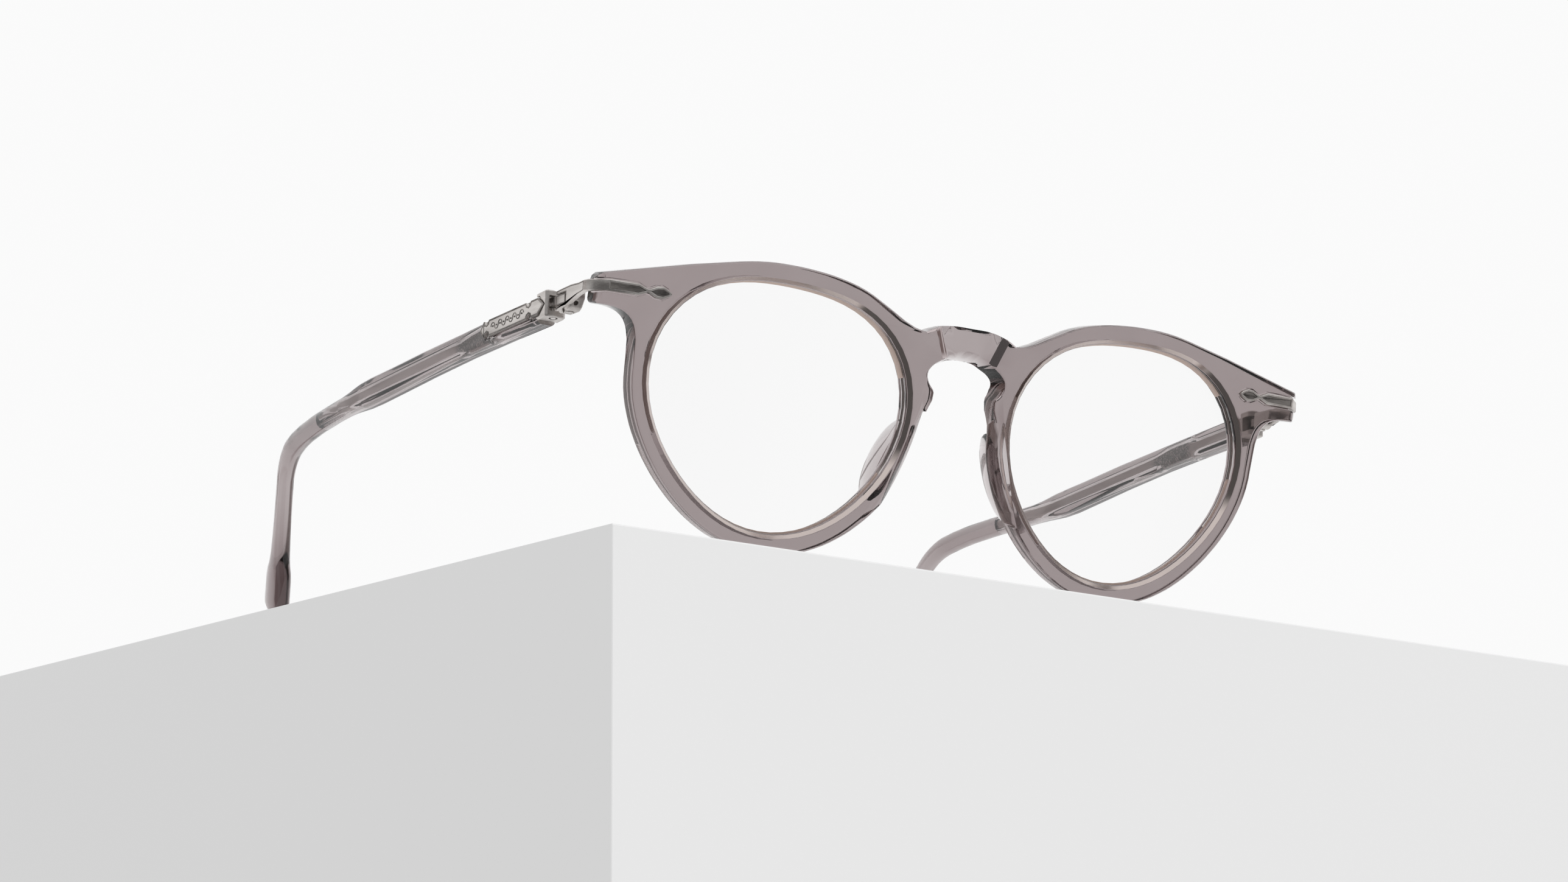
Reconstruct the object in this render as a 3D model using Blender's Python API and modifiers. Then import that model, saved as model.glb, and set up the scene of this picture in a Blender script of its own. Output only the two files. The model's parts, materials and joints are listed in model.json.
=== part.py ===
"""Round eyeglasses: a translucent acetate front, metal end pieces and folding temples.

World frame: +Z up, X across the face, the front faces -Y and the temples run to +Y.
The origin is on the surface that the open glasses stand on, below their middle.
All sizes are in metres.
"""

import math

import bmesh
import bpy
from mathutils import Matrix, Vector

MM = 0.001
CLEARANCE = 0.3 * MM
CUT_OVERRUN = 1.5 * MM
WELD_DISTANCE = 0.0005 * MM

# Front: one plate, leaning forward at the top, with both halves swept back
FRONT_TILT = math.radians(10.0)
FRONT_SWEEP = math.tan(math.radians(3.5))
SWEEP_BLEND = 12.0 * MM
SWEEP_CUT_SHARES = (0.06, 0.15, 0.3, 0.5)
FRONT_THICKNESS = 3.7 * MM
FRONT_EDGE_ROUND = 0.35 * MM
RIM_WIDTH = 2.4 * MM

# Lens opening: a circle, a little wider than tall, with a flattened top
LENS_CENTRE_X = 33.35 * MM
OPENING_RADIUS = 22.6 * MM
OPENING_WIDEN = 1.4 * MM
OPENING_LEAN = 0.4 * MM
OPENING_PANTO = 1.0 * MM
OPENING_CHAMFER = 0.9 * MM
OPENING_STEPS = 60
GROOVE_DEPTH = 1.0 * MM
GROOVE_WIDTH = 1.3 * MM
GROOVE_SETBACK = 2.2 * MM
LENS_EDGE_THICKNESS = 0.9 * MM
LENS_DISH = 1.5 * MM

# Bridge with its keyhole, as half outlines beside the centre plane
BRIDGE_TOP = 17.1 * MM
BRIDGE_VALLEY_X = 8.7 * MM
BRIDGE_VALLEY_DROP = 1.7 * MM
BRIDGE_TOP_SHARES = ((0.0, 0.0), (0.5, 0.08), (0.8, 0.5))
BROW_FLARE_X = 2.2 * MM
BROW_FLARE_RISE = 0.4 * MM
KEYHOLE_TOP = 13.3 * MM
KEYHOLE_HALF_WIDTH = 7.4 * MM
KEYHOLE_DEPTH = 7.7 * MM
KEYHOLE_SHARES = ((0.93, 0.81), (1.0, 0.62), (0.91, 0.44), (0.69, 0.28), (0.40, 0.09), (0.0, 0.0))
KEYHOLE_NECK_X = 5.8 * MM
BRIDGE_STEP_DEPTH = 0.7 * MM
BRIDGE_STEP_TOP_X = 6.2 * MM
BRIDGE_STEP_LOW_X = 4.6 * MM
BRIDGE_STEP_FLANK = 1.4 * MM

# Lug: the outer corner that carries the end piece
LUG_END_X = 67.9 * MM
LUG_TOP = 16.9 * MM
LUG_BOTTOM = 11.6 * MM
LUG_CORNER = 1.6 * MM
LUG_FOOT_CORNER = 0.8 * MM
LUG_FRONT_CHAMFER = 1.0 * MM
LUG_FILLET_REACH = 7.4 * MM
LUG_FILLET_DROP = 3.4 * MM
LUG_FILLET_SHARES = ((0.5, 0.06), (0.82, 0.36), (1.0, 1.0))

# Slanted facet that thins the nose side of each rim
NOSE_FACET_ANGLE = math.radians(197.0)
NOSE_FACET_RADIUS = 23.5 * MM
NOSE_FACET_SLOPE = math.radians(48.0)
NOSE_FACET_LENGTH = 20.0 * MM
NOSE_FACET_REACH = 7.0 * MM

# Nose pad: a flattened leaf behind the nose side of the rim
PAD_HEIGHT = 14.5 * MM
PAD_REACH = 9.0 * MM
PAD_THICKNESS = 2.0 * MM
PAD_SPLAY = math.radians(33.0)
PAD_LEAN = math.radians(12.0)
PAD_X = 9.6 * MM
PAD_DROP = 6.3 * MM
PAD_SETBACK = 2.4 * MM

# Metal end piece: a bar let into the face, bent round the lug, and an arm
BAR_HEIGHT_LINE = 14.75 * MM
BAR_HALF_HEIGHT = 0.95 * MM
BAR_PROUD = 0.5 * MM
BAR_POCKET_DEPTH = 0.7 * MM
BAR_TIP_X = 55.2 * MM
BAR_SPOON_LENGTH = 4.2 * MM
BAR_SPOON_SHARES = ((0.0, 0.12), (0.12, 0.62), (0.35, 1.08), (0.62, 1.0), (0.86, 0.5), (1.0, 0.3))
BAR_SHOULDER_X = 61.0 * MM
BAR_BEND_START = 1.6 * MM
BAR_BEND_RADIUS = 1.5 * MM
ARM_HALF_HEIGHT = 1.7 * MM
ARM_SHARES = ((0.0, 0.0), (0.2, 0.1), (0.36, 0.42), (0.5, 0.67), (0.75, 0.85), (1.0, 1.0))
ARM_END_GAP = 2.3 * MM
ARM_BLOCK_LENGTH = 5.0 * MM
ARM_BLOCK_DEPTH = 2.9 * MM
ARM_BLOCK_DROP = 0.3 * MM
ARM_BLOCK_RISE = 1.25 * MM
ARM_BLOCK_ROUND = 0.35 * MM
ARM_BLOCK_SHARES = ((0.0, 0.0), (0.62, 0.0), (0.8, 0.15), (1.0, 0.6), (1.0, 1.0), (0.0, 1.0))
ARM_BORE_RADIUS = 0.4 * MM
ARM_BORE_DEPTH = 1.6 * MM
ARM_PANEL_LENGTH = 3.2 * MM
ARM_PANEL_HEIGHT = 1.6 * MM
ARM_PANEL_THICKNESS = 0.4 * MM
ARM_PANEL_SEAM = 0.2 * MM
ARM_RIVET_SETBACK = 1.95 * MM
ARM_RIVET_RADIUS = 0.75 * MM
ARM_RIVET_HEIGHT = 0.35 * MM
ARM_RIVET_PROUD = 0.1 * MM
LUG_PIN_RADIUS = 0.6 * MM
LUG_PIN_COVER = 1.1 * MM
LUG_PIN_SHARES = (0.25, 0.75)

# Hinge: knuckle, forked temple head and screw on one upright axis
HINGE_OUTSET = 0.5 * MM
HINGE_X = LUG_END_X + HINGE_OUTSET
HINGE_Y = 16.6 * MM
HINGE_Z = 37.75 * MM
KNUCKLE_RADIUS = 0.95 * MM
KNUCKLE_HEIGHT = 1.4 * MM
KNUCKLE_NECK_WIDTH = 1.2 * MM
KNUCKLE_STEPS = 16
SCREW_RADIUS = 0.45 * MM
SCREW_HEAD_RADIUS = 0.75 * MM
SCREW_HEAD_HEIGHT = 0.4 * MM
HEAD_WIDTH = 3.9 * MM
HEAD_FRONT = 1.15 * MM
HEAD_SLOT = 1.3 * MM
HEAD_SLOT_ROOM = 0.5 * MM
HEAD_BACK = 2.25 * MM
HEAD_CHEEK = 0.6 * MM
HEAD_CHAMFER = 0.35 * MM
HEAD_INNER_ROUND = 1.0 * MM
HEAD_FLANGE_TOP = 0.95 * MM
HEAD_FLANGE_LOW = 1.0 * MM
HEAD_ROUND = 0.2 * MM

# Temple: flat slab, shoulder, round rod, bend over the ear and paddle tip
TEMPLE_THICKNESS = 3.4 * MM
TEMPLE_DROP = 0.75 * MM
TEMPLE_RUN = 101.6 * MM
TEMPLE_PITCH = math.radians(4.2)
TEMPLE_SWING = math.radians(2.5)
BEND_RADIUS = 11.0 * MM
DROP_ANGLE = math.radians(62.7)
TIP_LEAN = math.radians(11.2)
SLAB_HEIGHT = 4.6 * MM
ROD_WIDTH = 3.7 * MM
NECK_WIDTH = 3.1 * MM
PADDLE_HEIGHT = 8.2 * MM
PADDLE_THICKNESS = 3.9 * MM
TIP_END_HEIGHT = 4.6 * MM
TIP_ROUND = 2.4 * MM
SLAB_SQUARENESS = 5.0
ROD_SQUARENESS = 2.0
# Share of the run against shares of the downward pitch and of the outward swing
PITCH_SHARES = (
    (0.0, 0.8), (0.1, 0.86), (0.34, 1.05), (0.42, 1.33), (0.57, 1.17), (0.65, 0.95), (0.73, 0.7),
    (0.81, 0.88), (0.9, 1.25), (0.96, 2.2), (1.0, 3.5))
SWING_SHARES = (
    (0.0, 1.0), (0.58, 1.1), (0.64, 0.0), (0.73, -1.15), (0.81, -1.45), (0.89, -2.1), (0.94, -2.2), (1.0, -3.6))
# Share of the run, height share of the slab, share of the change to the round rod
RUN_SHARES = (
    (0.0, 0.98, 0.0), (0.11, 0.94, 0.0), (0.26, 0.9, 0.0), (0.4, 0.94, 0.0), (0.52, 0.97, 0.0),
    (0.59, 1.0, 0.0), (0.63, 0.98, 0.1), (0.655, 0.93, 0.35), (0.68, 0.87, 0.7), (0.71, 0.81, 0.95),
    (0.76, 0.8, 1.0), (0.85, 0.8, 1.0), (0.92, 0.8, 1.0), (0.965, 0.8, 1.0))
DROP_SHARES = ((0.25, 0.08), (0.42, 0.2), (0.54, 0.34), (0.61, 0.52), (0.67, 0.85), (0.73, 1.0))
TIP_SHARES = ((1.0, 1.0), (0.6, 0.97), (0.3, 0.84), (0.1, 0.68))
BEND_STEPS = 8
LINE_STEPS = 80
SECTION_SIDES = 16

# Core wire inside the acetate, with a flared paddle behind the plaque
WIRE_THICKNESS = 1.0 * MM
WIRE_HEIGHT = 1.7 * MM
WIRE_PADDLE_HEIGHT = 2.6 * MM
WIRE_END_HEIGHT = 1.1 * MM
WIRE_LENGTH = 84.0 * MM
WIRE_SHARES = (
    (0.0, 0.0, 0.0), (0.17, 0.0, 0.0), (0.20, 1.0, 0.0), (0.28, 0.92, 0.0), (0.33, 0.0, 0.0),
    (0.55, 0.0, 0.0), (0.78, 0.0, 0.1), (0.88, 0.0, 0.8), (1.0, 0.0, 1.0))

# Plaque on the outer side of the temple, held by four pins in its notches
PLAQUE_LENGTH = 21.7 * MM
PLAQUE_HEIGHT = 2.8 * MM
PLAQUE_THICKNESS = 0.5 * MM
PLAQUE_OVERLAP = 2.9 * MM
PLAQUE_POINT_FRONT = 2.0 * MM
PLAQUE_POINT_REAR = 1.2 * MM
PLAQUE_RISE = 0.35 * MM
PLAQUE_POCKET = 0.35 * MM
PLAQUE_NOTCH_FRONT = 5.1 * MM
PLAQUE_NOTCH_REAR = 2.2 * MM
PLAQUE_NOTCH_RADIUS = 0.8 * MM
PLAQUE_PIN_INSET = 0.35 * MM
PIN_RADIUS = 0.42 * MM
PIN_SHANK = 0.6 * MM

SHELL_COLOUR = (0.36, 0.30, 0.30)
PAD_COLOUR = (0.62, 0.58, 0.58)
LENS_COLOUR = (0.92, 0.90, 0.88)
METAL_COLOUR = (0.42, 0.41, 0.40)
DARK_METAL_COLOUR = (0.30, 0.29, 0.28)
WIRE_COLOUR = (0.45, 0.42, 0.40)

SIDES = (("right", 1.0), ("left", -1.0))


def clear_scene():
    for obj in list(bpy.data.objects):
        bpy.data.objects.remove(obj, do_unlink=True)


def make_collection(name):
    collection = bpy.data.collections.new(name)
    bpy.context.scene.collection.children.link(collection)
    return collection


def make_material(name, colour, roughness, metallic):
    material = bpy.data.materials.new(name)
    material.use_nodes = True
    shader = material.node_tree.nodes["Principled BSDF"]
    shader.inputs["Base Color"].default_value = (*colour, 1.0)
    shader.inputs["Roughness"].default_value = roughness
    shader.inputs["Metallic"].default_value = metallic
    return material


def mesh_from(build):
    """Run a bmesh builder and return its closed, outward-facing mesh."""
    bm = bmesh.new()
    build(bm)
    bmesh.ops.recalc_face_normals(bm, faces=bm.faces)
    mesh = bpy.data.meshes.new("shape")
    bm.to_mesh(mesh)
    bm.free()
    return mesh


def scratch_object(mesh, collection):
    """A cutter or blank that the build leaves out."""
    obj = bpy.data.objects.new("cutter", mesh)
    obj.hide_render = True
    obj.display_type = "WIRE"
    collection.objects.link(obj)
    return obj


def evaluated_mesh(obj):
    """The object's shape with its modifiers, in world space, welded and facing out."""
    bpy.context.view_layer.update()
    graph = bpy.context.evaluated_depsgraph_get()
    mesh = bpy.data.meshes.new_from_object(obj.evaluated_get(graph))
    bm = bmesh.new()
    bm.from_mesh(mesh)
    bmesh.ops.transform(bm, matrix=obj.matrix_world, verts=bm.verts)
    bmesh.ops.remove_doubles(bm, verts=bm.verts, dist=WELD_DISTANCE)
    bmesh.ops.dissolve_degenerate(bm, edges=bm.edges, dist=WELD_DISTANCE)
    bmesh.ops.recalc_face_normals(bm, faces=bm.faces)
    bm.to_mesh(mesh)
    bm.free()
    bpy.data.objects.remove(obj, do_unlink=True)
    return mesh


def combine(base, tools, operation, cutters):
    """One mesh after a chain of Booleans on the base mesh."""
    obj = scratch_object(base, cutters)
    tool_objects = [scratch_object(tool, cutters) for tool in tools]
    for tool in tool_objects:
        modifier = obj.modifiers.new("boolean", "BOOLEAN")
        modifier.operation = operation
        modifier.solver = "EXACT"
        modifier.object = tool
    mesh = evaluated_mesh(obj)
    for tool in tool_objects:
        bpy.data.objects.remove(tool, do_unlink=True)
    return mesh


def mirrored_copy(mesh):
    copy = mesh.copy()
    copy.transform(Matrix.Scale(-1.0, 4, Vector((1.0, 0.0, 0.0))))
    copy.flip_normals()
    return copy


def add_piece(name, mesh, material, parent, collection):
    mesh.name = name
    mesh.materials.clear()
    mesh.materials.append(material)
    mesh.shade_smooth()
    mesh.set_sharp_from_angle(angle=math.radians(30.0))
    piece = bpy.data.objects.new(name, mesh)
    piece.parent = parent
    collection.objects.link(piece)
    return piece


def add_pair(name, mesh, material, parents, collection):
    """A piece on the right and its mirror image on the left."""
    copy = mirrored_copy(mesh)
    add_piece(f"{name}_right", mesh, material, parents["right"], collection)
    add_piece(f"{name}_left", copy, material, parents["left"], collection)


def add_empty(name, location, parent, collection):
    empty = bpy.data.objects.new(name, None)
    empty.location = location
    empty.parent = parent
    empty.empty_display_size = CUT_OVERRUN
    collection.objects.link(empty)
    return empty


# Front geometry

def opening_radius(angle):
    """Radius of the lens opening at an angle from the temple side, upwards."""
    wide = OPENING_WIDEN * math.cos(2.0 * angle) + OPENING_LEAN * math.sin(2.0 * angle)
    return OPENING_RADIUS + wide + OPENING_PANTO * math.sin(3.0 * angle)


def swept(point):
    """Sweep a point of the flat front back, level with the ground."""
    back = FRONT_SWEEP * math.hypot(point.x, SWEEP_BLEND)
    return Vector((point.x, point.y + back * math.cos(FRONT_TILT), point.z - back * math.sin(FRONT_TILT)))


def front_height():
    """Height of the front's middle line when the rims stand on the ground."""
    drops = []
    for degrees in range(240, 300):
        angle = math.radians(degrees)
        drops.append(-(opening_radius(angle) + RIM_WIDTH) * math.sin(angle))
    return max(drops) * math.cos(FRONT_TILT) - FRONT_EDGE_ROUND * math.sin(FRONT_TILT)


def front_matrix():
    return Matrix.Translation((0.0, 0.0, front_height())) @ Matrix.Rotation(FRONT_TILT, 4, "X")


def sweep_mesh(mesh):
    """Sweep a flat piece back, after cutting it upright so that it can bend."""
    bm = bmesh.new()
    bm.from_mesh(mesh)
    for share in SWEEP_CUT_SHARES:
        for side in (-1.0, 1.0):
            geometry = bm.verts[:] + bm.edges[:] + bm.faces[:]
            place = Vector((side * share * LENS_CENTRE_X, 0.0, 0.0))
            bmesh.ops.bisect_plane(bm, geom=geometry, plane_co=place, plane_no=Vector((1.0, 0.0, 0.0)))
    bmesh.ops.triangulate(bm, faces=bm.faces)
    for vertex in bm.verts:
        vertex.co = swept(vertex.co)
    bm.to_mesh(mesh)
    bm.free()
    return mesh


def rim_points(start, end, count):
    """Points round the outside of the rim between two angles in degrees."""
    points = []
    for index in range(count):
        angle = math.radians(start + (end - start) * index / (count - 1))
        radius = opening_radius(angle) + RIM_WIDTH
        points.append((LENS_CENTRE_X + radius * math.cos(angle), radius * math.sin(angle), "AUTO"))
    return points


def corner_points(x, z, radius, side):
    """A rounded outer corner, above (side 1) or below (side -1) its centre."""
    points = []
    for turn in (90.0, 60.0, 30.0, 0.0):
        angle = math.radians(turn)
        across = x - radius * (1.0 - math.cos(angle))
        points.append((across, z - side * radius * (1.0 - math.sin(angle)), "VECTOR"))
    return points


def half_outline():
    """The front's outline on the +X side, from the bridge's top round to the keyhole's top."""
    points = []
    for along, down in BRIDGE_TOP_SHARES:
        points.append((along * BRIDGE_VALLEY_X, BRIDGE_TOP - down * BRIDGE_VALLEY_DROP, "AUTO"))
    valley = BRIDGE_TOP - BRIDGE_VALLEY_DROP
    points.append((BRIDGE_VALLEY_X, valley, "VECTOR"))
    points.append((BRIDGE_VALLEY_X + BROW_FLARE_X, valley + BROW_FLARE_RISE, "AUTO"))
    points += rim_points(133.0, 65.0, 7)
    points += corner_points(LUG_END_X, LUG_TOP, LUG_CORNER, 1.0)
    points += corner_points(LUG_END_X, LUG_BOTTOM, LUG_FOOT_CORNER, -1.0)[::-1]
    for along, down in LUG_FILLET_SHARES:
        points.append((LUG_END_X - along * LUG_FILLET_REACH, LUG_BOTTOM - down * LUG_FILLET_DROP, "AUTO"))
    points += rim_points(8.0, -184.0, 20)
    points.append((KEYHOLE_NECK_X, KEYHOLE_TOP - KEYHOLE_DEPTH, "AUTO"))
    for along, down in KEYHOLE_SHARES:
        points.append((along * KEYHOLE_HALF_WIDTH, KEYHOLE_TOP - down * KEYHOLE_DEPTH, "AUTO"))
    return points


def plate_from_outline(points, thickness, edge_round, resolution, cutters):
    """A plate in the XZ plane, front face at y = 0, from a closed outline."""
    curve = bpy.data.curves.new("outline", "CURVE")
    curve.dimensions = "2D"
    curve.fill_mode = "BOTH"
    curve.resolution_u = resolution
    curve.extrude = thickness / 2.0 - edge_round
    curve.bevel_depth = edge_round
    curve.bevel_resolution = 0
    curve.offset = -edge_round
    spline = curve.splines.new("BEZIER")
    spline.bezier_points.add(len(points) - 1)
    for knot, (x, z, handle) in zip(spline.bezier_points, points):
        knot.co = (x, z, 0.0)
        knot.handle_left_type = handle
        knot.handle_right_type = handle
    spline.use_cyclic_u = True
    obj = bpy.data.objects.new("plate", curve)
    obj.rotation_euler.x = math.radians(90.0)
    obj.location.y = thickness / 2.0
    cutters.objects.link(obj)
    return evaluated_mesh(obj)


def turned_to_opening(profile, cutters):
    """Turn a (radius, depth) profile about Y, then form it to the lens opening."""
    mesh = bpy.data.meshes.new("profile")
    vertices = [(radius, depth, 0.0) for radius, depth in profile]
    edges = [(index, index + 1) for index in range(len(profile) - 1)]
    mesh.from_pydata(vertices, edges, [])
    obj = scratch_object(mesh, cutters)
    screw = obj.modifiers.new("turn", "SCREW")
    screw.axis = "Y"
    screw.steps = OPENING_STEPS
    screw.render_steps = OPENING_STEPS
    screw.use_merge_vertices = True
    screw.merge_threshold = WELD_DISTANCE
    turned = evaluated_mesh(obj)
    for vertex in turned.vertices:
        angle = math.atan2(vertex.co.z, vertex.co.x)
        share = opening_radius(angle) / OPENING_RADIUS
        vertex.co.x = vertex.co.x * share + LENS_CENTRE_X
        vertex.co.z = vertex.co.z * share
    return turned


def opening_cutter(cutters):
    throat = OPENING_RADIUS - OPENING_CHAMFER
    groove = throat + GROOVE_DEPTH
    half_groove = GROOVE_WIDTH / 2.0
    back = FRONT_THICKNESS
    profile = [
        (0.0, -CUT_OVERRUN),
        (OPENING_RADIUS + CUT_OVERRUN, -CUT_OVERRUN),
        (throat, OPENING_CHAMFER),
        (throat, GROOVE_SETBACK - half_groove),
        (groove, GROOVE_SETBACK),
        (throat, GROOVE_SETBACK + half_groove),
        (throat, back - CLEARANCE),
        (throat + CLEARANCE + CUT_OVERRUN, back + CUT_OVERRUN),
        (0.0, back + CUT_OVERRUN)]
    return turned_to_opening(profile, cutters)


def lens_mesh(cutters):
    """A dished lens whose ridge sits in the rim's groove."""
    edge = OPENING_RADIUS - OPENING_CHAMFER - CLEARANCE
    ridge = edge + GROOVE_DEPTH
    half = LENS_EDGE_THICKNESS / 2.0
    profile = []
    for share in (0.0, 0.35, 0.7, 1.0):
        dish = LENS_DISH * (1.0 - share * share)
        profile.append((edge * share, GROOVE_SETBACK - half - dish))
    profile.append((ridge - CLEARANCE, GROOVE_SETBACK))
    for share in (1.0, 0.7, 0.35, 0.0):
        dish = LENS_DISH * (1.0 - share * share)
        profile.append((edge * share, GROOVE_SETBACK + half - dish))
    return sweep_mesh(turned_to_opening(profile, cutters))


def box_mesh(centre, size, turn):
    """A box whose own axes are turned by a 3x3 matrix."""
    def build(bm):
        bmesh.ops.create_cube(bm, size=1.0)
        bmesh.ops.scale(bm, vec=size, verts=bm.verts)
        matrix = Matrix.Translation(centre) @ turn.to_4x4()
        bmesh.ops.transform(bm, matrix=matrix, verts=bm.verts)
    return mesh_from(build)


def axes_matrix(first, second, third):
    return Matrix((first, second, third)).transposed()


def nose_facet_cutter():
    """A block whose face slants from the opening's edge back towards the nose."""
    outward = Vector((math.cos(NOSE_FACET_ANGLE), 0.0, math.sin(NOSE_FACET_ANGLE)))
    back = Vector((0.0, 1.0, 0.0))
    along = outward.cross(back)
    slant = outward * math.cos(NOSE_FACET_SLOPE) + back * math.sin(NOSE_FACET_SLOPE)
    removed = outward * math.sin(NOSE_FACET_SLOPE) - back * math.cos(NOSE_FACET_SLOPE)
    edge = Vector((LENS_CENTRE_X, 0.0, 0.0)) + outward * NOSE_FACET_RADIUS
    half = NOSE_FACET_REACH / 2.0
    centre = edge + removed * half + slant * (half - CUT_OVERRUN)
    size = Vector((NOSE_FACET_LENGTH, NOSE_FACET_REACH, NOSE_FACET_REACH))
    return box_mesh(centre, size, axes_matrix(along, slant, removed))


def lug_chamfer_cutter():
    """A block that takes the upright front corner off the lug."""
    turn = Matrix.Rotation(math.radians(45.0), 3, "Z")
    side = LUG_END_X - BAR_SHOULDER_X
    centre_x = LUG_END_X - LUG_FRONT_CHAMFER / 2.0 + side / 2.0 * math.sqrt(0.5)
    centre_y = LUG_FRONT_CHAMFER / 2.0 - side / 2.0 * math.sqrt(0.5)
    height = LUG_TOP - LUG_BOTTOM + 2.0 * CUT_OVERRUN
    centre = Vector((centre_x, centre_y, (LUG_TOP + LUG_BOTTOM) / 2.0))
    return box_mesh(centre, Vector((side, side, height)), turn)


def bridge_step_cutter():
    """A shallow trapezoid with slanted flanks, milled across the bridge's face."""
    top = BRIDGE_TOP + CUT_OVERRUN
    low = KEYHOLE_TOP - KEYHOLE_DEPTH / 3.0
    spread = (BRIDGE_STEP_TOP_X - BRIDGE_STEP_LOW_X) / (BRIDGE_TOP - KEYHOLE_TOP)
    rise = BRIDGE_STEP_FLANK / BRIDGE_STEP_DEPTH

    def half_width(height, depth):
        flank = (BRIDGE_STEP_DEPTH - depth) * rise
        return BRIDGE_STEP_LOW_X + (height - KEYHOLE_TOP) * spread + flank

    def build(bm):
        rings = []
        for depth in (-CUT_OVERRUN, BRIDGE_STEP_DEPTH):
            ring = []
            for side, height in ((-1.0, low), (1.0, low), (1.0, top), (-1.0, top)):
                ring.append(bm.verts.new((side * half_width(height, depth), depth, height)))
            rings.append(ring)
        bridge_rings(bm, rings)
    return mesh_from(build)


def bridge_rings(bm, rings):
    """Join rings of equal count with quads and close both ends."""
    count = len(rings[0])
    for first, second in zip(rings, rings[1:]):
        for index in range(count):
            after = (index + 1) % count
            bm.faces.new((first[index], first[after], second[after], second[index]))
    bm.faces.new(rings[0][::-1])
    bm.faces.new(rings[-1])


def cylinder_mesh(radius, start, end, sides):
    """A cylinder between two points."""
    axis = end - start
    turn = axis.to_track_quat("Z", "Y").to_matrix().to_4x4()

    def build(bm):
        bmesh.ops.create_cone(
            bm, cap_ends=True, segments=sides, radius1=radius, radius2=radius, depth=axis.length)
        bmesh.ops.transform(bm, matrix=Matrix.Translation((start + end) / 2.0) @ turn, verts=bm.verts)
    return mesh_from(build)


def lug_pin_mesh(share, grow):
    """A blind pin behind the bar, into the lug, in the flat front's coordinates."""
    x = BAR_SHOULDER_X + share * (LUG_END_X - BAR_SHOULDER_X)
    start = Vector((x, BAR_POCKET_DEPTH - grow, BAR_HEIGHT_LINE))
    end = Vector((x, FRONT_THICKNESS - LUG_PIN_COVER + grow, BAR_HEIGHT_LINE))
    return cylinder_mesh(LUG_PIN_RADIUS + grow, start, end, 12)


# Lofted metal band

def section_ring(bm, centre, side, up, half_thickness, half_height):
    """A rectangle with cut corners: eight points round a centre."""
    corner = min(half_thickness, half_height) * 0.35
    points = (
        (half_thickness, half_height - corner), (half_thickness - corner, half_height),
        (corner - half_thickness, half_height), (-half_thickness, half_height - corner),
        (-half_thickness, corner - half_height), (corner - half_thickness, -half_height),
        (half_thickness - corner, -half_height), (half_thickness, corner - half_height))
    return [bm.verts.new(centre + side * across + up * tall) for across, tall in points]


def band_thickness():
    return BAR_PROUD + BAR_POCKET_DEPTH - CLEARANCE


def front_station(x, half_height):
    """A section of the bar where it lies in the front's pocket."""
    depth = band_thickness() / 2.0 - BAR_PROUD
    frame = front_matrix()
    centre = frame @ swept(Vector((x, depth, BAR_HEIGHT_LINE)))
    side = frame.to_3x3() @ Vector((0.0, -1.0, 0.0))
    up = frame.to_3x3() @ Vector((0.0, 0.0, 1.0))
    return centre, side, up, half_height


def band_stations():
    """Sections from the spoon's tip, along the bar, round the lug and down the arm."""
    stations = []
    for along, tall in BAR_SPOON_SHARES:
        stations.append(front_station(BAR_TIP_X + along * BAR_SPOON_LENGTH, tall * BAR_HALF_HEIGHT))
    stations.append(front_station(BAR_SHOULDER_X, BAR_HALF_HEIGHT))
    bend_x = LUG_END_X - BAR_BEND_START
    stations.append(front_station((BAR_SHOULDER_X + bend_x) / 2.0, BAR_HALF_HEIGHT))
    last = front_station(bend_x, BAR_HALF_HEIGHT)
    stations.append(last)
    outer_x = LUG_END_X + CLEARANCE + band_thickness() / 2.0
    arm_start = Vector((outer_x, last[0].y + BAR_BEND_START + BAR_BEND_RADIUS, last[0].z))
    arm_end = Vector((outer_x, HINGE_Y - ARM_END_GAP, HINGE_Z))
    for turn in (30.0, 60.0):
        angle = math.radians(turn)
        centre = Vector((
            outer_x - BAR_BEND_RADIUS * (1.0 - math.sin(angle)),
            arm_start.y - BAR_BEND_RADIUS * math.cos(angle),
            last[0].z))
        side = Vector((math.sin(angle), -math.cos(angle), 0.0))
        stations.append((centre, side, Vector((0.0, 0.0, 1.0)), BAR_HALF_HEIGHT))
    for along, swell in ARM_SHARES:
        centre = arm_start.lerp(arm_end, along)
        half_height = BAR_HALF_HEIGHT + swell * (ARM_HALF_HEIGHT - BAR_HALF_HEIGHT)
        stations.append((centre, Vector((1.0, 0.0, 0.0)), Vector((0.0, 0.0, 1.0)), half_height))
    return stations


def band_mesh(grow):
    def build(bm):
        half = band_thickness() / 2.0
        rings = []
        for centre, side, up, half_height in band_stations():
            rings.append(section_ring(bm, centre, side, up, half + grow, half_height + grow))
        bridge_rings(bm, rings)
    return mesh_from(build)


def arm_outer_x():
    return LUG_END_X + CLEARANCE + band_thickness()


def bevel_edges(bm, edges, radius, segments):
    bmesh.ops.bevel(
        bm, geom=edges, offset=radius, segments=segments, profile=0.5, affect="EDGES", material=-1)


def arm_block_low():
    return HINGE_Z - ARM_HALF_HEIGHT - ARM_BLOCK_DROP


def arm_block_mesh():
    """The thicker end of the arm, on its inner side, with its underside rising to the front."""
    back = HINGE_Y - ARM_END_GAP
    tall = HINGE_Z + ARM_BLOCK_RISE - arm_block_low()
    inner = arm_outer_x() - ARM_BLOCK_DEPTH
    outer = arm_outer_x() - band_thickness() / 2.0

    def build(bm):
        rings = []
        for x in (inner, outer):
            ring = []
            for forward, up in ARM_BLOCK_SHARES:
                ring.append(bm.verts.new((x, back - forward * ARM_BLOCK_LENGTH, arm_block_low() + up * tall)))
            rings.append(ring)
        bridge_rings(bm, rings)
        bevel_edges(bm, bm.edges, ARM_BLOCK_ROUND, 2)
    return mesh_from(build)


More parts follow.
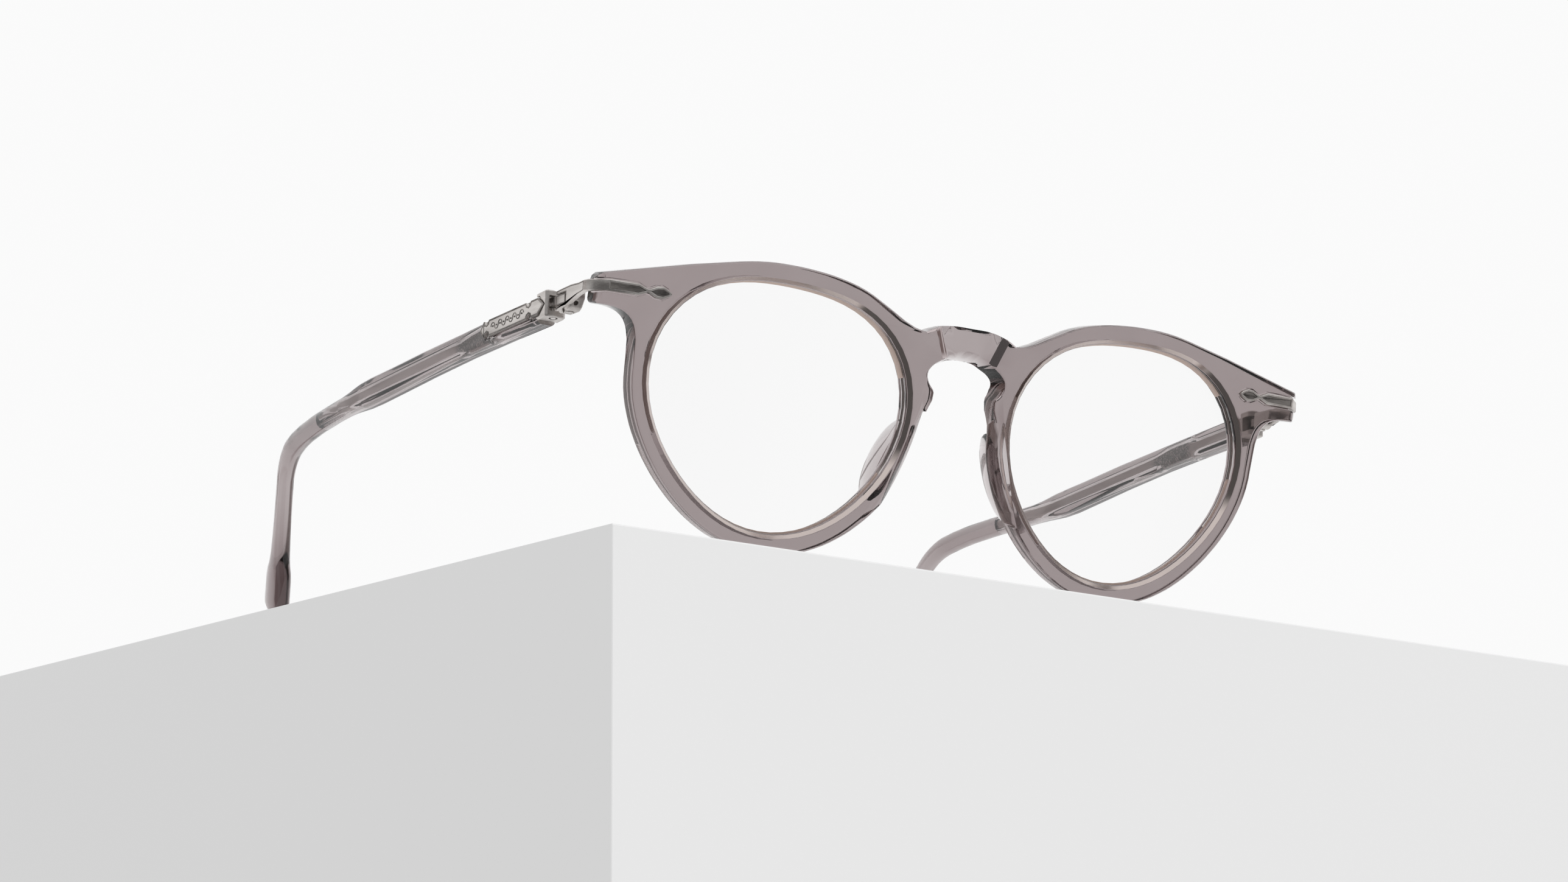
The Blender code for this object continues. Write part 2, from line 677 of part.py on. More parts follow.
def arm_bore_mesh():
    """A blind bore in the block's front."""
    x = arm_outer_x() - ARM_BLOCK_DEPTH / 2.0
    y = HINGE_Y - ARM_END_GAP - ARM_BLOCK_LENGTH
    z = arm_block_low() + ARM_BLOCK_ROUND + ARM_BORE_RADIUS * 2.0
    return cylinder_mesh(ARM_BORE_RADIUS, Vector((x, y - CUT_OVERRUN, z)), Vector((x, y + ARM_BORE_DEPTH, z)), 12)


def prism_mesh(outline, low, high):
    """An upright prism over an outline of (x, y) points."""
    def build(bm):
        bridge_rings(bm, [[bm.verts.new((x, y, z)) for x, y in outline] for z in (low, high)])
    return mesh_from(build)


def hinge_turn():
    """The hinge's axis leans back, square to the temple's first stretch."""
    return Matrix.Rotation(-pitch_at(0.0), 4, "X")


def about_hinge(mesh):
    """Lean a mesh with the hinge's axis."""
    axis = Vector((HINGE_X, HINGE_Y, HINGE_Z))
    mesh.transform(Matrix.Translation(axis) @ hinge_turn() @ Matrix.Translation(-axis))
    return mesh


def knuckle_mesh():
    """A round eye on the hinge's axis with a straight neck into the arm's block."""
    half_neck = KNUCKLE_NECK_WIDTH / 2.0
    root_y = HINGE_Y - ARM_END_GAP - ARM_BLOCK_ROUND
    first = math.degrees(math.asin(half_neck / KNUCKLE_RADIUS))
    outline = [(HINGE_X - half_neck, root_y), (HINGE_X + half_neck, root_y)]
    for index in range(KNUCKLE_STEPS + 1):
        angle = math.radians(-90.0 + first + (360.0 - 2.0 * first) * index / KNUCKLE_STEPS)
        outline.append((HINGE_X + KNUCKLE_RADIUS * math.cos(angle), HINGE_Y + KNUCKLE_RADIUS * math.sin(angle)))
    mesh = prism_mesh(outline, HINGE_Z - KNUCKLE_HEIGHT / 2.0, HINGE_Z + KNUCKLE_HEIGHT / 2.0)
    return about_hinge(mesh)


def arm_panel_mesh(grow, overrun):
    """The small flat panel let into the arm's outer face, open at the rear."""
    outer = arm_outer_x()
    back = HINGE_Y - ARM_END_GAP
    half = ARM_PANEL_HEIGHT / 2.0 + grow
    low = Vector((outer - ARM_PANEL_THICKNESS - grow, back - ARM_PANEL_LENGTH - grow, HINGE_Z - half))
    high = Vector((outer + overrun, back + grow, HINGE_Z + half))
    return box_mesh((low + high) / 2.0, high - low, Matrix.Identity(3))


def arm_rivet_points():
    """Top and bottom of the rivet under the arm's block."""
    x = arm_outer_x() - ARM_BLOCK_DEPTH / 2.0
    y = HINGE_Y - ARM_END_GAP - ARM_RIVET_SETBACK
    seat = arm_block_low()
    return Vector((x, y, seat + ARM_RIVET_HEIGHT)), Vector((x, y, seat - ARM_RIVET_PROUD))


def end_piece_mesh(cutters):
    solid = combine(band_mesh(0.0), [arm_block_mesh(), knuckle_mesh()], "UNION", cutters)
    axis = Vector((HINGE_X, HINGE_Y, HINGE_Z))
    reach = Vector((0.0, 0.0, KNUCKLE_HEIGHT))
    bore = about_hinge(cylinder_mesh(SCREW_RADIUS + CLEARANCE, axis - reach, axis + reach, 16))
    panel_pocket = arm_panel_mesh(ARM_PANEL_SEAM, CUT_OVERRUN)
    top, bottom = arm_rivet_points()
    overrun = Vector((0.0, 0.0, CUT_OVERRUN))
    lift = Vector((0.0, 0.0, CLEARANCE))
    rivet_hole = cylinder_mesh(ARM_RIVET_RADIUS + CLEARANCE, top + lift, bottom - overrun, 14)
    return combine(solid, [bore, panel_pocket, rivet_hole, arm_bore_mesh()], "DIFFERENCE", cutters)


def rivet_mesh():
    top, bottom = arm_rivet_points()
    return cylinder_mesh(ARM_RIVET_RADIUS, top, bottom, 14)


def front_mesh(cutters):
    outline = half_outline()
    left = [(-x, z, handle) for x, z, handle in outline[-2:0:-1]]
    plate = plate_from_outline(outline + left, FRONT_THICKNESS, FRONT_EDGE_ROUND, 3, cutters)
    tools = []
    for tool in (opening_cutter(cutters), nose_facet_cutter(), lug_chamfer_cutter()):
        tools += [tool, mirrored_copy(tool)]
    tools.append(bridge_step_cutter())
    plate = sweep_mesh(combine(plate, tools, "DIFFERENCE", cutters))
    pocket = band_mesh(CLEARANCE)
    pocket.transform(front_matrix().inverted())
    recesses = [pocket]
    for share in LUG_PIN_SHARES:
        recesses.append(sweep_mesh(lug_pin_mesh(share, CLEARANCE)))
    recesses += [mirrored_copy(recess) for recess in recesses]
    return combine(plate, recesses, "DIFFERENCE", cutters)


def nose_pad_mesh(cutters):
    """A leaf whose root is cut off flat behind the rim."""
    def build(bm):
        bmesh.ops.create_uvsphere(bm, u_segments=16, v_segments=12, radius=0.5)
        bmesh.ops.scale(bm, vec=(PAD_THICKNESS, PAD_REACH, PAD_HEIGHT), verts=bm.verts)
        turn = Matrix.Rotation(-PAD_SPLAY, 4, "Z") @ Matrix.Rotation(PAD_LEAN, 4, "Y")
        root = swept(Vector((PAD_X, FRONT_THICKNESS + PAD_SETBACK, -PAD_DROP)))
        bmesh.ops.transform(bm, matrix=Matrix.Translation(root) @ turn, verts=bm.verts)
    leaf = mesh_from(build)
    back = swept(Vector((PAD_X, FRONT_THICKNESS, -PAD_DROP))).y + CLEARANCE
    side = PAD_HEIGHT + PAD_REACH
    slab_centre = Vector((PAD_X, back - side / 2.0, -PAD_DROP))
    slope = Matrix.Rotation(math.atan(FRONT_SWEEP), 3, "Z")
    slab = box_mesh(slab_centre, Vector((side, side, side)), slope)
    return combine(leaf, [slab], "DIFFERENCE", cutters)


# Hinge and temple, in coordinates measured from the hinge's axis

def head_top():
    return KNUCKLE_HEIGHT / 2.0 + CLEARANCE + HEAD_FLANGE_TOP


def head_low():
    return -KNUCKLE_HEIGHT / 2.0 - CLEARANCE - HEAD_SLOT_ROOM - HEAD_FLANGE_LOW


def head_block_mesh():
    """An upright block, chamfered at its outer front edge and rounded at its inner one."""
    half = HEAD_WIDTH / 2.0
    outline = [(half, HEAD_BACK), (-half, HEAD_BACK)]
    for turn in (180.0, 210.0, 240.0, 270.0):
        angle = math.radians(turn)
        across = HEAD_INNER_ROUND - half + HEAD_INNER_ROUND * math.cos(angle)
        outline.append((across, HEAD_INNER_ROUND - HEAD_FRONT + HEAD_INNER_ROUND * math.sin(angle)))
    outline.append((half - HEAD_CHAMFER, -HEAD_FRONT))
    outline.append((half, HEAD_CHAMFER - HEAD_FRONT))

    def build(bm):
        rings = [[bm.verts.new((x, y, z)) for x, y in outline] for z in (head_low(), head_top())]
        bridge_rings(bm, rings)
        rims = [edge for edge in bm.edges if edge.verts[0].co.z == edge.verts[1].co.z]
        bevel_edges(bm, rims, HEAD_ROUND, 1)
    return mesh_from(build)


def head_mesh(cutters):
    """The forked metal head that the temple hangs on, closed by a cheek on its outer side."""
    mouth_low = Vector((-HEAD_WIDTH, -HEAD_FRONT - CUT_OVERRUN, head_low() + HEAD_FLANGE_LOW))
    mouth_high = Vector((HEAD_WIDTH / 2.0 - HEAD_CHEEK, HEAD_SLOT, head_top() - HEAD_FLANGE_TOP))
    mouth = box_mesh((mouth_low + mouth_high) / 2.0, mouth_high - mouth_low, Matrix.Identity(3))
    reach = Vector((0.0, 0.0, HEAD_WIDTH))
    bore = cylinder_mesh(SCREW_RADIUS + CLEARANCE, -reach, reach, 16)
    sink = Vector((0.0, 0.0, head_top() - SCREW_HEAD_HEIGHT - CLEARANCE))
    lift = Vector((0.0, 0.0, head_top() + CUT_OVERRUN))
    seat = cylinder_mesh(SCREW_HEAD_RADIUS + CLEARANCE, sink, lift, 20)
    head = combine(head_block_mesh(), [mouth, bore, seat], "DIFFERENCE", cutters)
    head.transform(hinge_turn())
    plaque_seat = plaque_plate(CLEARANCE, -PLAQUE_POCKET, CUT_OVERRUN)
    return combine(head, [plaque_seat], "DIFFERENCE", cutters)


def screw_mesh(cutters):
    top = Vector((0.0, 0.0, head_top()))
    under_head = Vector((0.0, 0.0, head_top() - SCREW_HEAD_HEIGHT))
    shank_top = Vector((0.0, 0.0, head_top() - SCREW_HEAD_HEIGHT / 2.0))
    shank = cylinder_mesh(SCREW_RADIUS, Vector((0.0, 0.0, head_low())), shank_top, 16)
    head = cylinder_mesh(SCREW_HEAD_RADIUS, under_head, top, 20)
    screw = combine(head, [shank], "UNION", cutters)
    screw.transform(hinge_turn())
    return screw


def read_shares(table, share):
    """A value between the entries of a table of (place share, value share)."""
    for (start, first), (end, second) in zip(table, table[1:]):
        if share <= end:
            return blend(first, second, (share - start) / (end - start))
    return table[-1][1]


def blend(first, second, share):
    return first + (second - first) * share


def pitch_at(distance):
    """How steeply the temple's middle line points down."""
    pitch = TEMPLE_PITCH * read_shares(PITCH_SHARES, min(distance / TEMPLE_RUN, 1.0))
    return min(pitch + max(distance - TEMPLE_RUN, 0.0) / BEND_RADIUS, DROP_ANGLE)


def swing_at(distance):
    """How far the temple's middle line points outwards, seen from above."""
    swing = TEMPLE_SWING * read_shares(SWING_SHARES, min(distance / TEMPLE_RUN, 1.0))
    beyond = max(distance - TEMPLE_RUN, 0.0) / bend_length()
    return blend(swing, -TIP_LEAN, min(beyond, 1.0))


def line_axes(distance):
    """Directions along the temple's middle line, outwards and upwards."""
    pitch = pitch_at(distance)
    swing = swing_at(distance)
    flat = math.cos(swing)
    along = Vector((math.sin(swing), flat * math.cos(pitch), -flat * math.sin(pitch)))
    outward = Vector((flat, -math.sin(swing) * math.cos(pitch), math.sin(swing) * math.sin(pitch)))
    upward = Vector((0.0, math.sin(pitch), math.cos(pitch)))
    return along, outward, upward


def line_point(distance):
    """Point of the temple's middle line, stepped along from its start."""
    point = hinge_turn() @ Vector((0.0, HEAD_BACK + CLEARANCE, -TEMPLE_DROP))
    step = distance / LINE_STEPS
    for index in range(LINE_STEPS):
        point += line_axes((index + 0.5) * step)[0] * step
    return point


def bend_length():
    return (DROP_ANGLE - TEMPLE_PITCH * PITCH_SHARES[-1][1]) * BEND_RADIUS


def drop_length():
    """Length of the straight drop whose tip just reaches the ground."""
    bend_end = line_point(TEMPLE_RUN + bend_length())
    above_ground = bend_end.z + HINGE_Z - TIP_END_HEIGHT / 2.0 * math.cos(DROP_ANGLE)
    return above_ground / (math.sin(DROP_ANGLE) * math.cos(TIP_LEAN))


def temple_ring(bm, distance, half_thickness, half_height, squareness):
    """An oval or squarish section across the temple's middle line."""
    centre = line_point(distance)
    along, outward, upward = line_axes(distance)
    power = 2.0 / squareness
    ring = []
    for index in range(SECTION_SIDES):
        angle = 2.0 * math.pi * (index + 0.5) / SECTION_SIDES
        across = math.copysign(abs(math.cos(angle)) ** power, math.cos(angle)) * half_thickness
        tall = math.copysign(abs(math.sin(angle)) ** power, math.sin(angle)) * half_height
        ring.append(bm.verts.new(centre + outward * across + upward * tall))
    return ring


def temple_sections():
    """Distance, thickness, height and squareness from the head to the tip."""
    sections = []
    for along, tall, rounded in RUN_SHARES:
        thickness = blend(TEMPLE_THICKNESS, ROD_WIDTH, rounded)
        height = blend(tall * SLAB_HEIGHT, ROD_WIDTH, rounded)
        squareness = blend(SLAB_SQUARENESS, ROD_SQUARENESS, rounded)
        sections.append((along * TEMPLE_RUN, thickness, height, squareness))
    for index in range(BEND_STEPS + 1):
        width = blend(ROD_WIDTH, NECK_WIDTH, index / BEND_STEPS)
        sections.append((TEMPLE_RUN + bend_length() * index / BEND_STEPS, width, width, ROD_SQUARENESS))
    drop_start = TEMPLE_RUN + bend_length()
    for along, flare in DROP_SHARES:
        thickness = blend(NECK_WIDTH, PADDLE_THICKNESS, flare)
        height = blend(NECK_WIDTH, PADDLE_HEIGHT, flare)
        sections.append((drop_start + along * drop_length(), thickness, height, ROD_SQUARENESS))
    end = drop_start + drop_length()
    for back, tall in TIP_SHARES:
        sections.append((end - back * TIP_ROUND, tall * PADDLE_THICKNESS, tall * PADDLE_HEIGHT, ROD_SQUARENESS))
    sections.append((end, PADDLE_THICKNESS / 2.0, TIP_END_HEIGHT, ROD_SQUARENESS))
    return sections


def temple_blank():
    def build(bm):
        rings = []
        for distance, thickness, height, squareness in temple_sections():
            rings.append(temple_ring(bm, distance, thickness / 2.0, height / 2.0, squareness))
        bridge_rings(bm, rings)
    return mesh_from(build)


def wire_mesh(grow, start):
    """The core wire, or with grow the channel that it lies in."""
    def build(bm):
        rings = []
        for along, flare, taper in WIRE_SHARES:
            distance = start + along * WIRE_LENGTH
            if along == 1.0:
                distance += grow
            along_line, outward, upward = line_axes(distance)
            height = blend(WIRE_HEIGHT, WIRE_PADDLE_HEIGHT, flare)
            height = blend(height, WIRE_END_HEIGHT, taper)
            half_thickness = WIRE_THICKNESS / 2.0 + grow
            centre = line_point(distance)
            rings.append(section_ring(bm, centre, outward, upward, half_thickness, height / 2.0 + grow))
        bridge_rings(bm, rings)
    return mesh_from(build)


def plaque_end(grow, notch_place, point):
    """Upper half of one end, from its point to past its notch, with x towards the point."""
    half_length = PLAQUE_LENGTH / 2.0 + grow
    half_height = PLAQUE_HEIGHT / 2.0 + grow
    notch = max(PLAQUE_NOTCH_RADIUS - grow, CLEARANCE)
    notch_x = PLAQUE_LENGTH / 2.0 - notch_place
    points = [(half_length, 0.0), (half_length - point, half_height), (notch_x + notch, half_height)]
    for turn in (-45.0, -90.0, -135.0):
        angle = math.radians(turn)
        points.append((notch_x + notch * math.cos(angle), half_height + notch * math.sin(angle)))
    points.append((notch_x - notch, half_height))
    return points


def plaque_outline(grow):
    """A long bar with pointed ends and a round notch in each corner; -x is its front."""
    rear = plaque_end(grow, PLAQUE_NOTCH_REAR, PLAQUE_POINT_REAR)
    front = plaque_end(grow, PLAQUE_NOTCH_FRONT, PLAQUE_POINT_FRONT)
    upper = rear + [(-x, z) for x, z in front[::-1]]
    lower = [(x, -z) for x, z in upper[-2:0:-1]]
    return upper + lower


def plaque_matrix():
    """Frame on the slab's outer side: x along the plaque, y outwards, z up."""
    middle = PLAQUE_LENGTH / 2.0 - PLAQUE_OVERLAP
    along, outward, upward = line_axes(middle)
    matrix = axes_matrix(along, outward, upward).to_4x4()
    face = line_point(middle) + outward * TEMPLE_THICKNESS / 2.0
    matrix.translation = face + upward * PLAQUE_RISE
    return matrix


def plaque_plate(grow, inner, outer):
    def build(bm):
        rings = []
        for depth in (inner, outer):
            rings.append([bm.verts.new((x, depth, z)) for x, z in plaque_outline(grow)])
        bridge_rings(bm, rings)
        bmesh.ops.transform(bm, matrix=plaque_matrix(), verts=bm.verts)
    return mesh_from(build)


def pin_places():
    rear = PLAQUE_LENGTH / 2.0 - PLAQUE_NOTCH_REAR
    front = PLAQUE_NOTCH_FRONT - PLAQUE_LENGTH / 2.0
    z = PLAQUE_HEIGHT / 2.0 - PLAQUE_PIN_INSET
    return ((rear, z), (rear, -z), (front, z), (front, -z))


def pin_mesh(place, grow):
    matrix = plaque_matrix()
    x, z = place
    inner = matrix @ Vector((x, -PIN_SHANK - PLAQUE_POCKET - grow, z))
    outer = matrix @ Vector((x, PLAQUE_THICKNESS - PLAQUE_POCKET + 4.0 * grow, z))
    return cylinder_mesh(PIN_RADIUS + grow, inner, outer, 10)


def temple_mesh(cutters):
    channel = wire_mesh(CLEARANCE, -CUT_OVERRUN)
    deeper = wire_mesh(CLEARANCE, CLEARANCE)
    pocket = plaque_plate(CLEARANCE, -PLAQUE_POCKET, CUT_OVERRUN)
    tools = [channel, deeper, pocket]
    for place in pin_places():
        tools.append(pin_mesh(place, CLEARANCE))
    return combine(temple_blank(), tools, "DIFFERENCE", cutters)


def build_front(materials, root, parts, cutters):
    frame = add_empty("front_frame", (0.0, 0.0, front_height()), root, parts)
    frame.rotation_euler.x = FRONT_TILT
    parents = {"right": frame, "left": frame}
    add_piece("front", front_mesh(cutters), materials["shell"], frame, parts)
    add_pair("lens", lens_mesh(cutters), materials["lens"], parents, parts)
    add_pair("nose_pad", nose_pad_mesh(cutters), materials["pad"], parents, parts)
    for number, share in enumerate(LUG_PIN_SHARES, 1):
        pin = sweep_mesh(lug_pin_mesh(share, 0.0))
        add_pair(f"lug_pin_{number}", pin, materials["dark_metal"], parents, parts)


def shifted(mesh, offset):
    mesh.transform(Matrix.Translation(offset))
    return mesh


def build_end_pieces(materials, root, parts, cutters):
    parents = {}
    for side, sign in SIDES:
        corner = (sign * LUG_END_X, HINGE_Y, HINGE_Z)
        parents[side] = add_empty(f"end_frame_{side}", corner, root, parts)
    offset = Vector((-LUG_END_X, -HINGE_Y, -HINGE_Z))
    pieces = (
        ("end_piece", end_piece_mesh(cutters), "metal"),
        ("arm_panel", arm_panel_mesh(0.0, 0.0), "metal"),
        ("arm_rivet", rivet_mesh(), "dark_metal"))
    for name, mesh, material in pieces:
        add_pair(name, shifted(mesh, offset), materials[material], parents, parts)


def build_temples(materials, root, parts, cutters):
    parents = {}
    for side, sign in SIDES:
        axis = (sign * HINGE_X, HINGE_Y, HINGE_Z)
        parents[side] = add_empty(f"hinge_axis_{side}", axis, root, parts)
    pieces = (
        ("hinge_screw", screw_mesh(cutters), "dark_metal"),
        ("temple_head", head_mesh(cutters), "metal"),
        ("temple", temple_mesh(cutters), "shell"),
        ("core_wire", wire_mesh(0.0, 2.0 * CLEARANCE), "wire"),
        ("plaque", plaque_plate(0.0, CLEARANCE - PLAQUE_POCKET, PLAQUE_THICKNESS), "metal"))
    for name, mesh, material in pieces:
        add_pair(name, mesh, materials[material], parents, parts)
    for number, place in enumerate(pin_places(), 1):
        add_pair(f"plaque_pin_{number}", pin_mesh(place, 0.0), materials["dark_metal"], parents, parts)


def centre_on_origin(root, parts):
    """Move the root so that the object's middle, front to back, is at the origin."""
    bpy.context.view_layer.update()
    depths = []
    for piece in parts.objects:
        if piece.type == "MESH":
            depths += [(piece.matrix_world @ vertex.co).y for vertex in piece.data.vertices]
    root.location.y = -(min(depths) + max(depths)) / 2.0


def main():
    clear_scene()
    parts = make_collection("round_eyeglasses")
    cutters = make_collection("cutters")
    root = add_empty("object_frame", (0.0, 0.0, 0.0), None, parts)
    materials = {
        "shell": make_material("grey_acetate", SHELL_COLOUR, 0.08, 0.0),
        "pad": make_material("pale_acetate", PAD_COLOUR, 0.10, 0.0),
        "lens": make_material("clear_lens", LENS_COLOUR, 0.03, 0.0),
        "metal": make_material("antique_silver", METAL_COLOUR, 0.32, 1.0),
        "dark_metal": make_material("dark_steel", DARK_METAL_COLOUR, 0.35, 1.0),
        "wire": make_material("core_wire_steel", WIRE_COLOUR, 0.45, 1.0)}
    build_front(materials, root, parts, cutters)
    build_end_pieces(materials, root, parts, cutters)
    build_temples(materials, root, parts, cutters)
    centre_on_origin(root, parts)


main()
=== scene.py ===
"""Looks of the round eyeglasses: polished acetate, clear lenses, engraved silver, plinth and camera."""

import json
import math

import bmesh
import bpy
from bpy.props import FloatProperty, FloatVectorProperty, IntProperty, PointerProperty
from mathutils import Matrix, Vector


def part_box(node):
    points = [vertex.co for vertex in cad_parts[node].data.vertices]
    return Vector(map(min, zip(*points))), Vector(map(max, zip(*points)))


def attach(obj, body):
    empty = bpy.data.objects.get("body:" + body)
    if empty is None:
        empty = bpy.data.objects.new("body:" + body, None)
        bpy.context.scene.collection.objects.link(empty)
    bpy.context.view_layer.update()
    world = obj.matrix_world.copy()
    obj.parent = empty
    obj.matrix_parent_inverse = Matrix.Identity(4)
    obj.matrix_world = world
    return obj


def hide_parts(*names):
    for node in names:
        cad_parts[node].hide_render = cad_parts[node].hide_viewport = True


bl_info = {
    "name": "Round Eyeglasses",
    "version": (1, 0, 0),
    "blender": (4, 5, 0),
    "location": "View3D > Sidebar > Glasses",
    "description": "Dresses a pair of round acetate eyeglasses with finished pieces and materials",
    "category": "Object",
}

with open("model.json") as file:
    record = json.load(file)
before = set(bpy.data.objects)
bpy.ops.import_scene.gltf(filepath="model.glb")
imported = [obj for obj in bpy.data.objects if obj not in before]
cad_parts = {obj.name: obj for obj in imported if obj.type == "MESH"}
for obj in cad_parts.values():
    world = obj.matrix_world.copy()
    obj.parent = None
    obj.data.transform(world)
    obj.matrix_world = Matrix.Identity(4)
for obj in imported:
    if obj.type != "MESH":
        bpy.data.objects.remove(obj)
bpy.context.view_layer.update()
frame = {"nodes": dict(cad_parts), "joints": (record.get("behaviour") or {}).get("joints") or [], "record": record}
MM = 0.001
WHITE = (1.0, 1.0, 1.0)

# The sides' directions along X, the directions of the object, and the numbers in the pins' names
WAY = {"right": 1.0, "left": -1.0}
SIDES = tuple(WAY)
BACK = Vector((0.0, 1.0, 0.0))
UP = Vector((0.0, 0.0, 1.0))
LUG_PINS = (1, 2)
PLAQUE_PINS = (1, 2, 3, 4)

# Points nearer than MERGE are one, and faces that meet at less than FLAT_ANGLE degrees are joined
MERGE = MM / 1000.0
FLAT_ANGLE = 0.3

# Edges that turn by more degrees than these stay crisp
ACETATE_ANGLE = 50.0
METAL_ANGLE = 32.0

# Gap that the solids keep between a nose pad and the rim, and the way that the right pad stands back
PAD_GAP = 0.3 * MM
PAD_BACK = (0.14, 0.99, 0.0)

# The core wire's flat paddle: its start and end behind the plaque's rear end, and where its dents fade
PADDLE_START = -3.0 * MM
PADDLE_END = 11.0 * MM
PADDLE_FADE = 1.5 * MM

# Repeats of the surface patterns in one metre
STREAKS = 5200.0
STAINS = 420.0
RUBBING = 2600.0
BUFFING = 90.0
CLOUDS = 140.0
LENS_CLOUDS = 60.0
GROUND_GRAIN = 1800.0
DENTS = 2300.0
PAINT_GRAIN = 900.0
PAINT_PATCHES = 2.0

# Sockets of a colour mix
MIX_FIRST, MIX_SECOND, MIX_RESULT = 6, 7, 2

# The photo's width and height, and four points of it on the plinth's edges
PHOTO_SIZE = (2576, 1449)
PLINTH_CORNER = (1005, 859)
PLINTH_LEFT = (0, 1110)
PLINTH_RIGHT = (2576, 1092)
PLINTH_FOOT = (1003, 1449)

# The plinth's sides in metres, how many times deeper it goes than the photo shows, and its rounding
PLINTH_REACH = 2.2
PLINTH_DROP = 6.0
PLINTH_ROUND = 0.25 * MM

# The lamp's direction and its width in degrees, and the camera's sensor and nearest distance
KEY_DIRECTION = (-0.75, 0.55, -0.55)
KEY_ANGLE = 60.0
SENSOR = 36.0
CLIP_START = 0.01


# Settings that a user may change

def colour_setting(name, description, default):
    return FloatVectorProperty(
        name=name, description=description, subtype="COLOR", default=default, min=0.0, max=1.0)


def length_setting(name, description, default):
    return FloatProperty(name=name, description=description, unit="LENGTH", default=default)


def place_setting(name, description, default):
    return FloatVectorProperty(
        name=name, description=description, subtype="TRANSLATION", unit="LENGTH", default=default)


def angle_setting(name, description, default):
    return FloatProperty(name=name, description=description, subtype="ANGLE", default=default)


class AcetateSettings(bpy.types.PropertyGroup):
    tint: colour_setting("Tint", "Colour that passes through the frame's acetate", (0.178, 0.053, 0.055))
    density: FloatProperty(
        name="Density", description="Absorption per metre of acetate", default=310.0, min=0.0)
    pad_density: FloatProperty(
        name="Pad density", description="Absorption per metre in the nose pads", default=270.0, min=0.0)
    polish: FloatProperty(
        name="Polish", description="Roughness of the polished faces", default=0.03, min=0.0, max=1.0)
    bevel_tint: colour_setting(
        "Opening bevel", "Tint of the polished bevel round a lens opening", (0.62, 0.54, 0.51))
    flank_tint: colour_setting(
        "Step flank", "Tint of the flanks of the bridge's milled step", (0.60, 0.52, 0.52))


class KeyholeSettings(bpy.types.PropertyGroup):
    reach: length_setting("Reach", "How far from the keyhole's middle its walls lean", 8.6 * MM)
    height: length_setting("Height", "Height of the keyhole", 7.7 * MM)
    wall: length_setting("Wall", "Depth of the wall that leans, from the back", 3.0 * MM)
    fade: length_setting("Fade", "Height over which the lean grows from nothing", 2.2 * MM)
    side_lean: length_setting("Side lean", "How far the back edge comes inwards at the sides", 1.1 * MM)
    crown_lean: length_setting("Crown lean", "How much more it comes in under the bridge", 0.9 * MM)


class PadSettings(bpy.types.PropertyGroup):
    top: place_setting(
        "Top", "Top of the pad's root, from the middle of the front's foremost line",
        (8.3 * MM, 8.5 * MM, 25.8 * MM))
    foot: place_setting(
        "Foot", "Foot of the pad's root, from the middle of the front's foremost line",
        (13.6 * MM, 9.5 * MM, 11.5 * MM))
    reach: length_setting("Reach", "How far the pad stands back", 4.7 * MM)
    thickness: length_setting("Thickness", "Thickest place", 2.2 * MM)
    seam: length_setting("Seam", "Gap to the rim's back", 0.05 * MM)


class LensSettings(bpy.types.PropertyGroup):
    tint: colour_setting("Lens tint", "Colour of the coating's reflection", (0.93, 0.91, 0.90))
    mirror: FloatProperty(
        name="Mirror", description="Share of light that the coated lens throws back", default=0.02)
    mirror_aslant: FloatProperty(
        name="Mirror aslant", description="That share for light that grazes the lens", default=0.5)
    ground_edge: colour_setting("Ground edge", "Colour of the ground lens edge", (0.72, 0.58, 0.51))


class MetalSettings(bpy.types.PropertyGroup):
    silver: colour_setting("Silver", "Colour of the worn, bright metal", (0.74, 0.71, 0.685))
    patina: colour_setting("Patina", "Colour of the darkened metal between the streaks", (0.44, 0.41, 0.39))
    pin: colour_setting("Pin", "Colour of the pins' bright streaks", (0.66, 0.64, 0.62))
    wire: colour_setting("Wire", "Colour of the core wires", (0.50, 0.44, 0.43))
    wire_dark: colour_setting("Wire streaks", "Colour of the core wires' streaks", (0.36, 0.31, 0.30))
    recess: colour_setting("Recess", "Colour of the blackened grooves", (0.07, 0.066, 0.062))
    roughness: FloatProperty(name="Roughness", description="Satin finish", default=0.30, min=0.0, max=1.0)
    edge_round: length_setting("Edge rounding", "Radius of the metal's edges", 0.12 * MM)


class OrnamentSettings(bpy.types.PropertyGroup):
    border: length_setting("Border", "Width of the rim round the plaque", 0.24 * MM)
    groove: length_setting("Groove", "Width of an engraved line", 0.09 * MM)
    depth: length_setting("Depth", "Depth of an engraved line", 0.07 * MM)
    vine_radius: length_setting("Vine radius", "Radius of each turn of the vine", 0.62 * MM)
    vine_turns: IntProperty(name="Vine turns", description="Half turns of the vine", default=9, min=3)


class StageSettings(bpy.types.PropertyGroup):
    backdrop: FloatProperty(name="Backdrop", description="Its brightness, 1 is white", default=0.96)
    ambient: FloatProperty(name="Ambient", description="Brightness of the soft light all round", default=0.9)
    shade: colour_setting("Shade", "Colour of the dark screens at the sides", (0.27, 0.225, 0.215))
    room: FloatProperty(name="Room", description="Brightness of the room beside the camera", default=0.5)
    dim: FloatProperty(name="Dim", description="Brightness of the room right behind the camera", default=0.12)
    key: FloatProperty(name="Key", description="Strength of the lamp from the front right", default=1.4)
    plinth: colour_setting("Plinth", "Colour of the plinth", (0.80, 0.80, 0.80))


class CameraSettings(bpy.types.PropertyGroup):
    offset: place_setting(
        "Offset", "Camera's place from the middle of the hinge line", (-0.4022, -0.69814, -0.16922))
    yaw: angle_setting("Yaw", "Turn from +Y towards +X", 0.49592)
    pitch: angle_setting("Pitch", "Tilt upwards", 0.190114)
    roll: angle_setting("Roll", "Turn about the view", 0.056889)
    focal: FloatProperty(name="Focal length", description="In pixels of the photo's width", default=8000.0)


# Shared steps for meshes

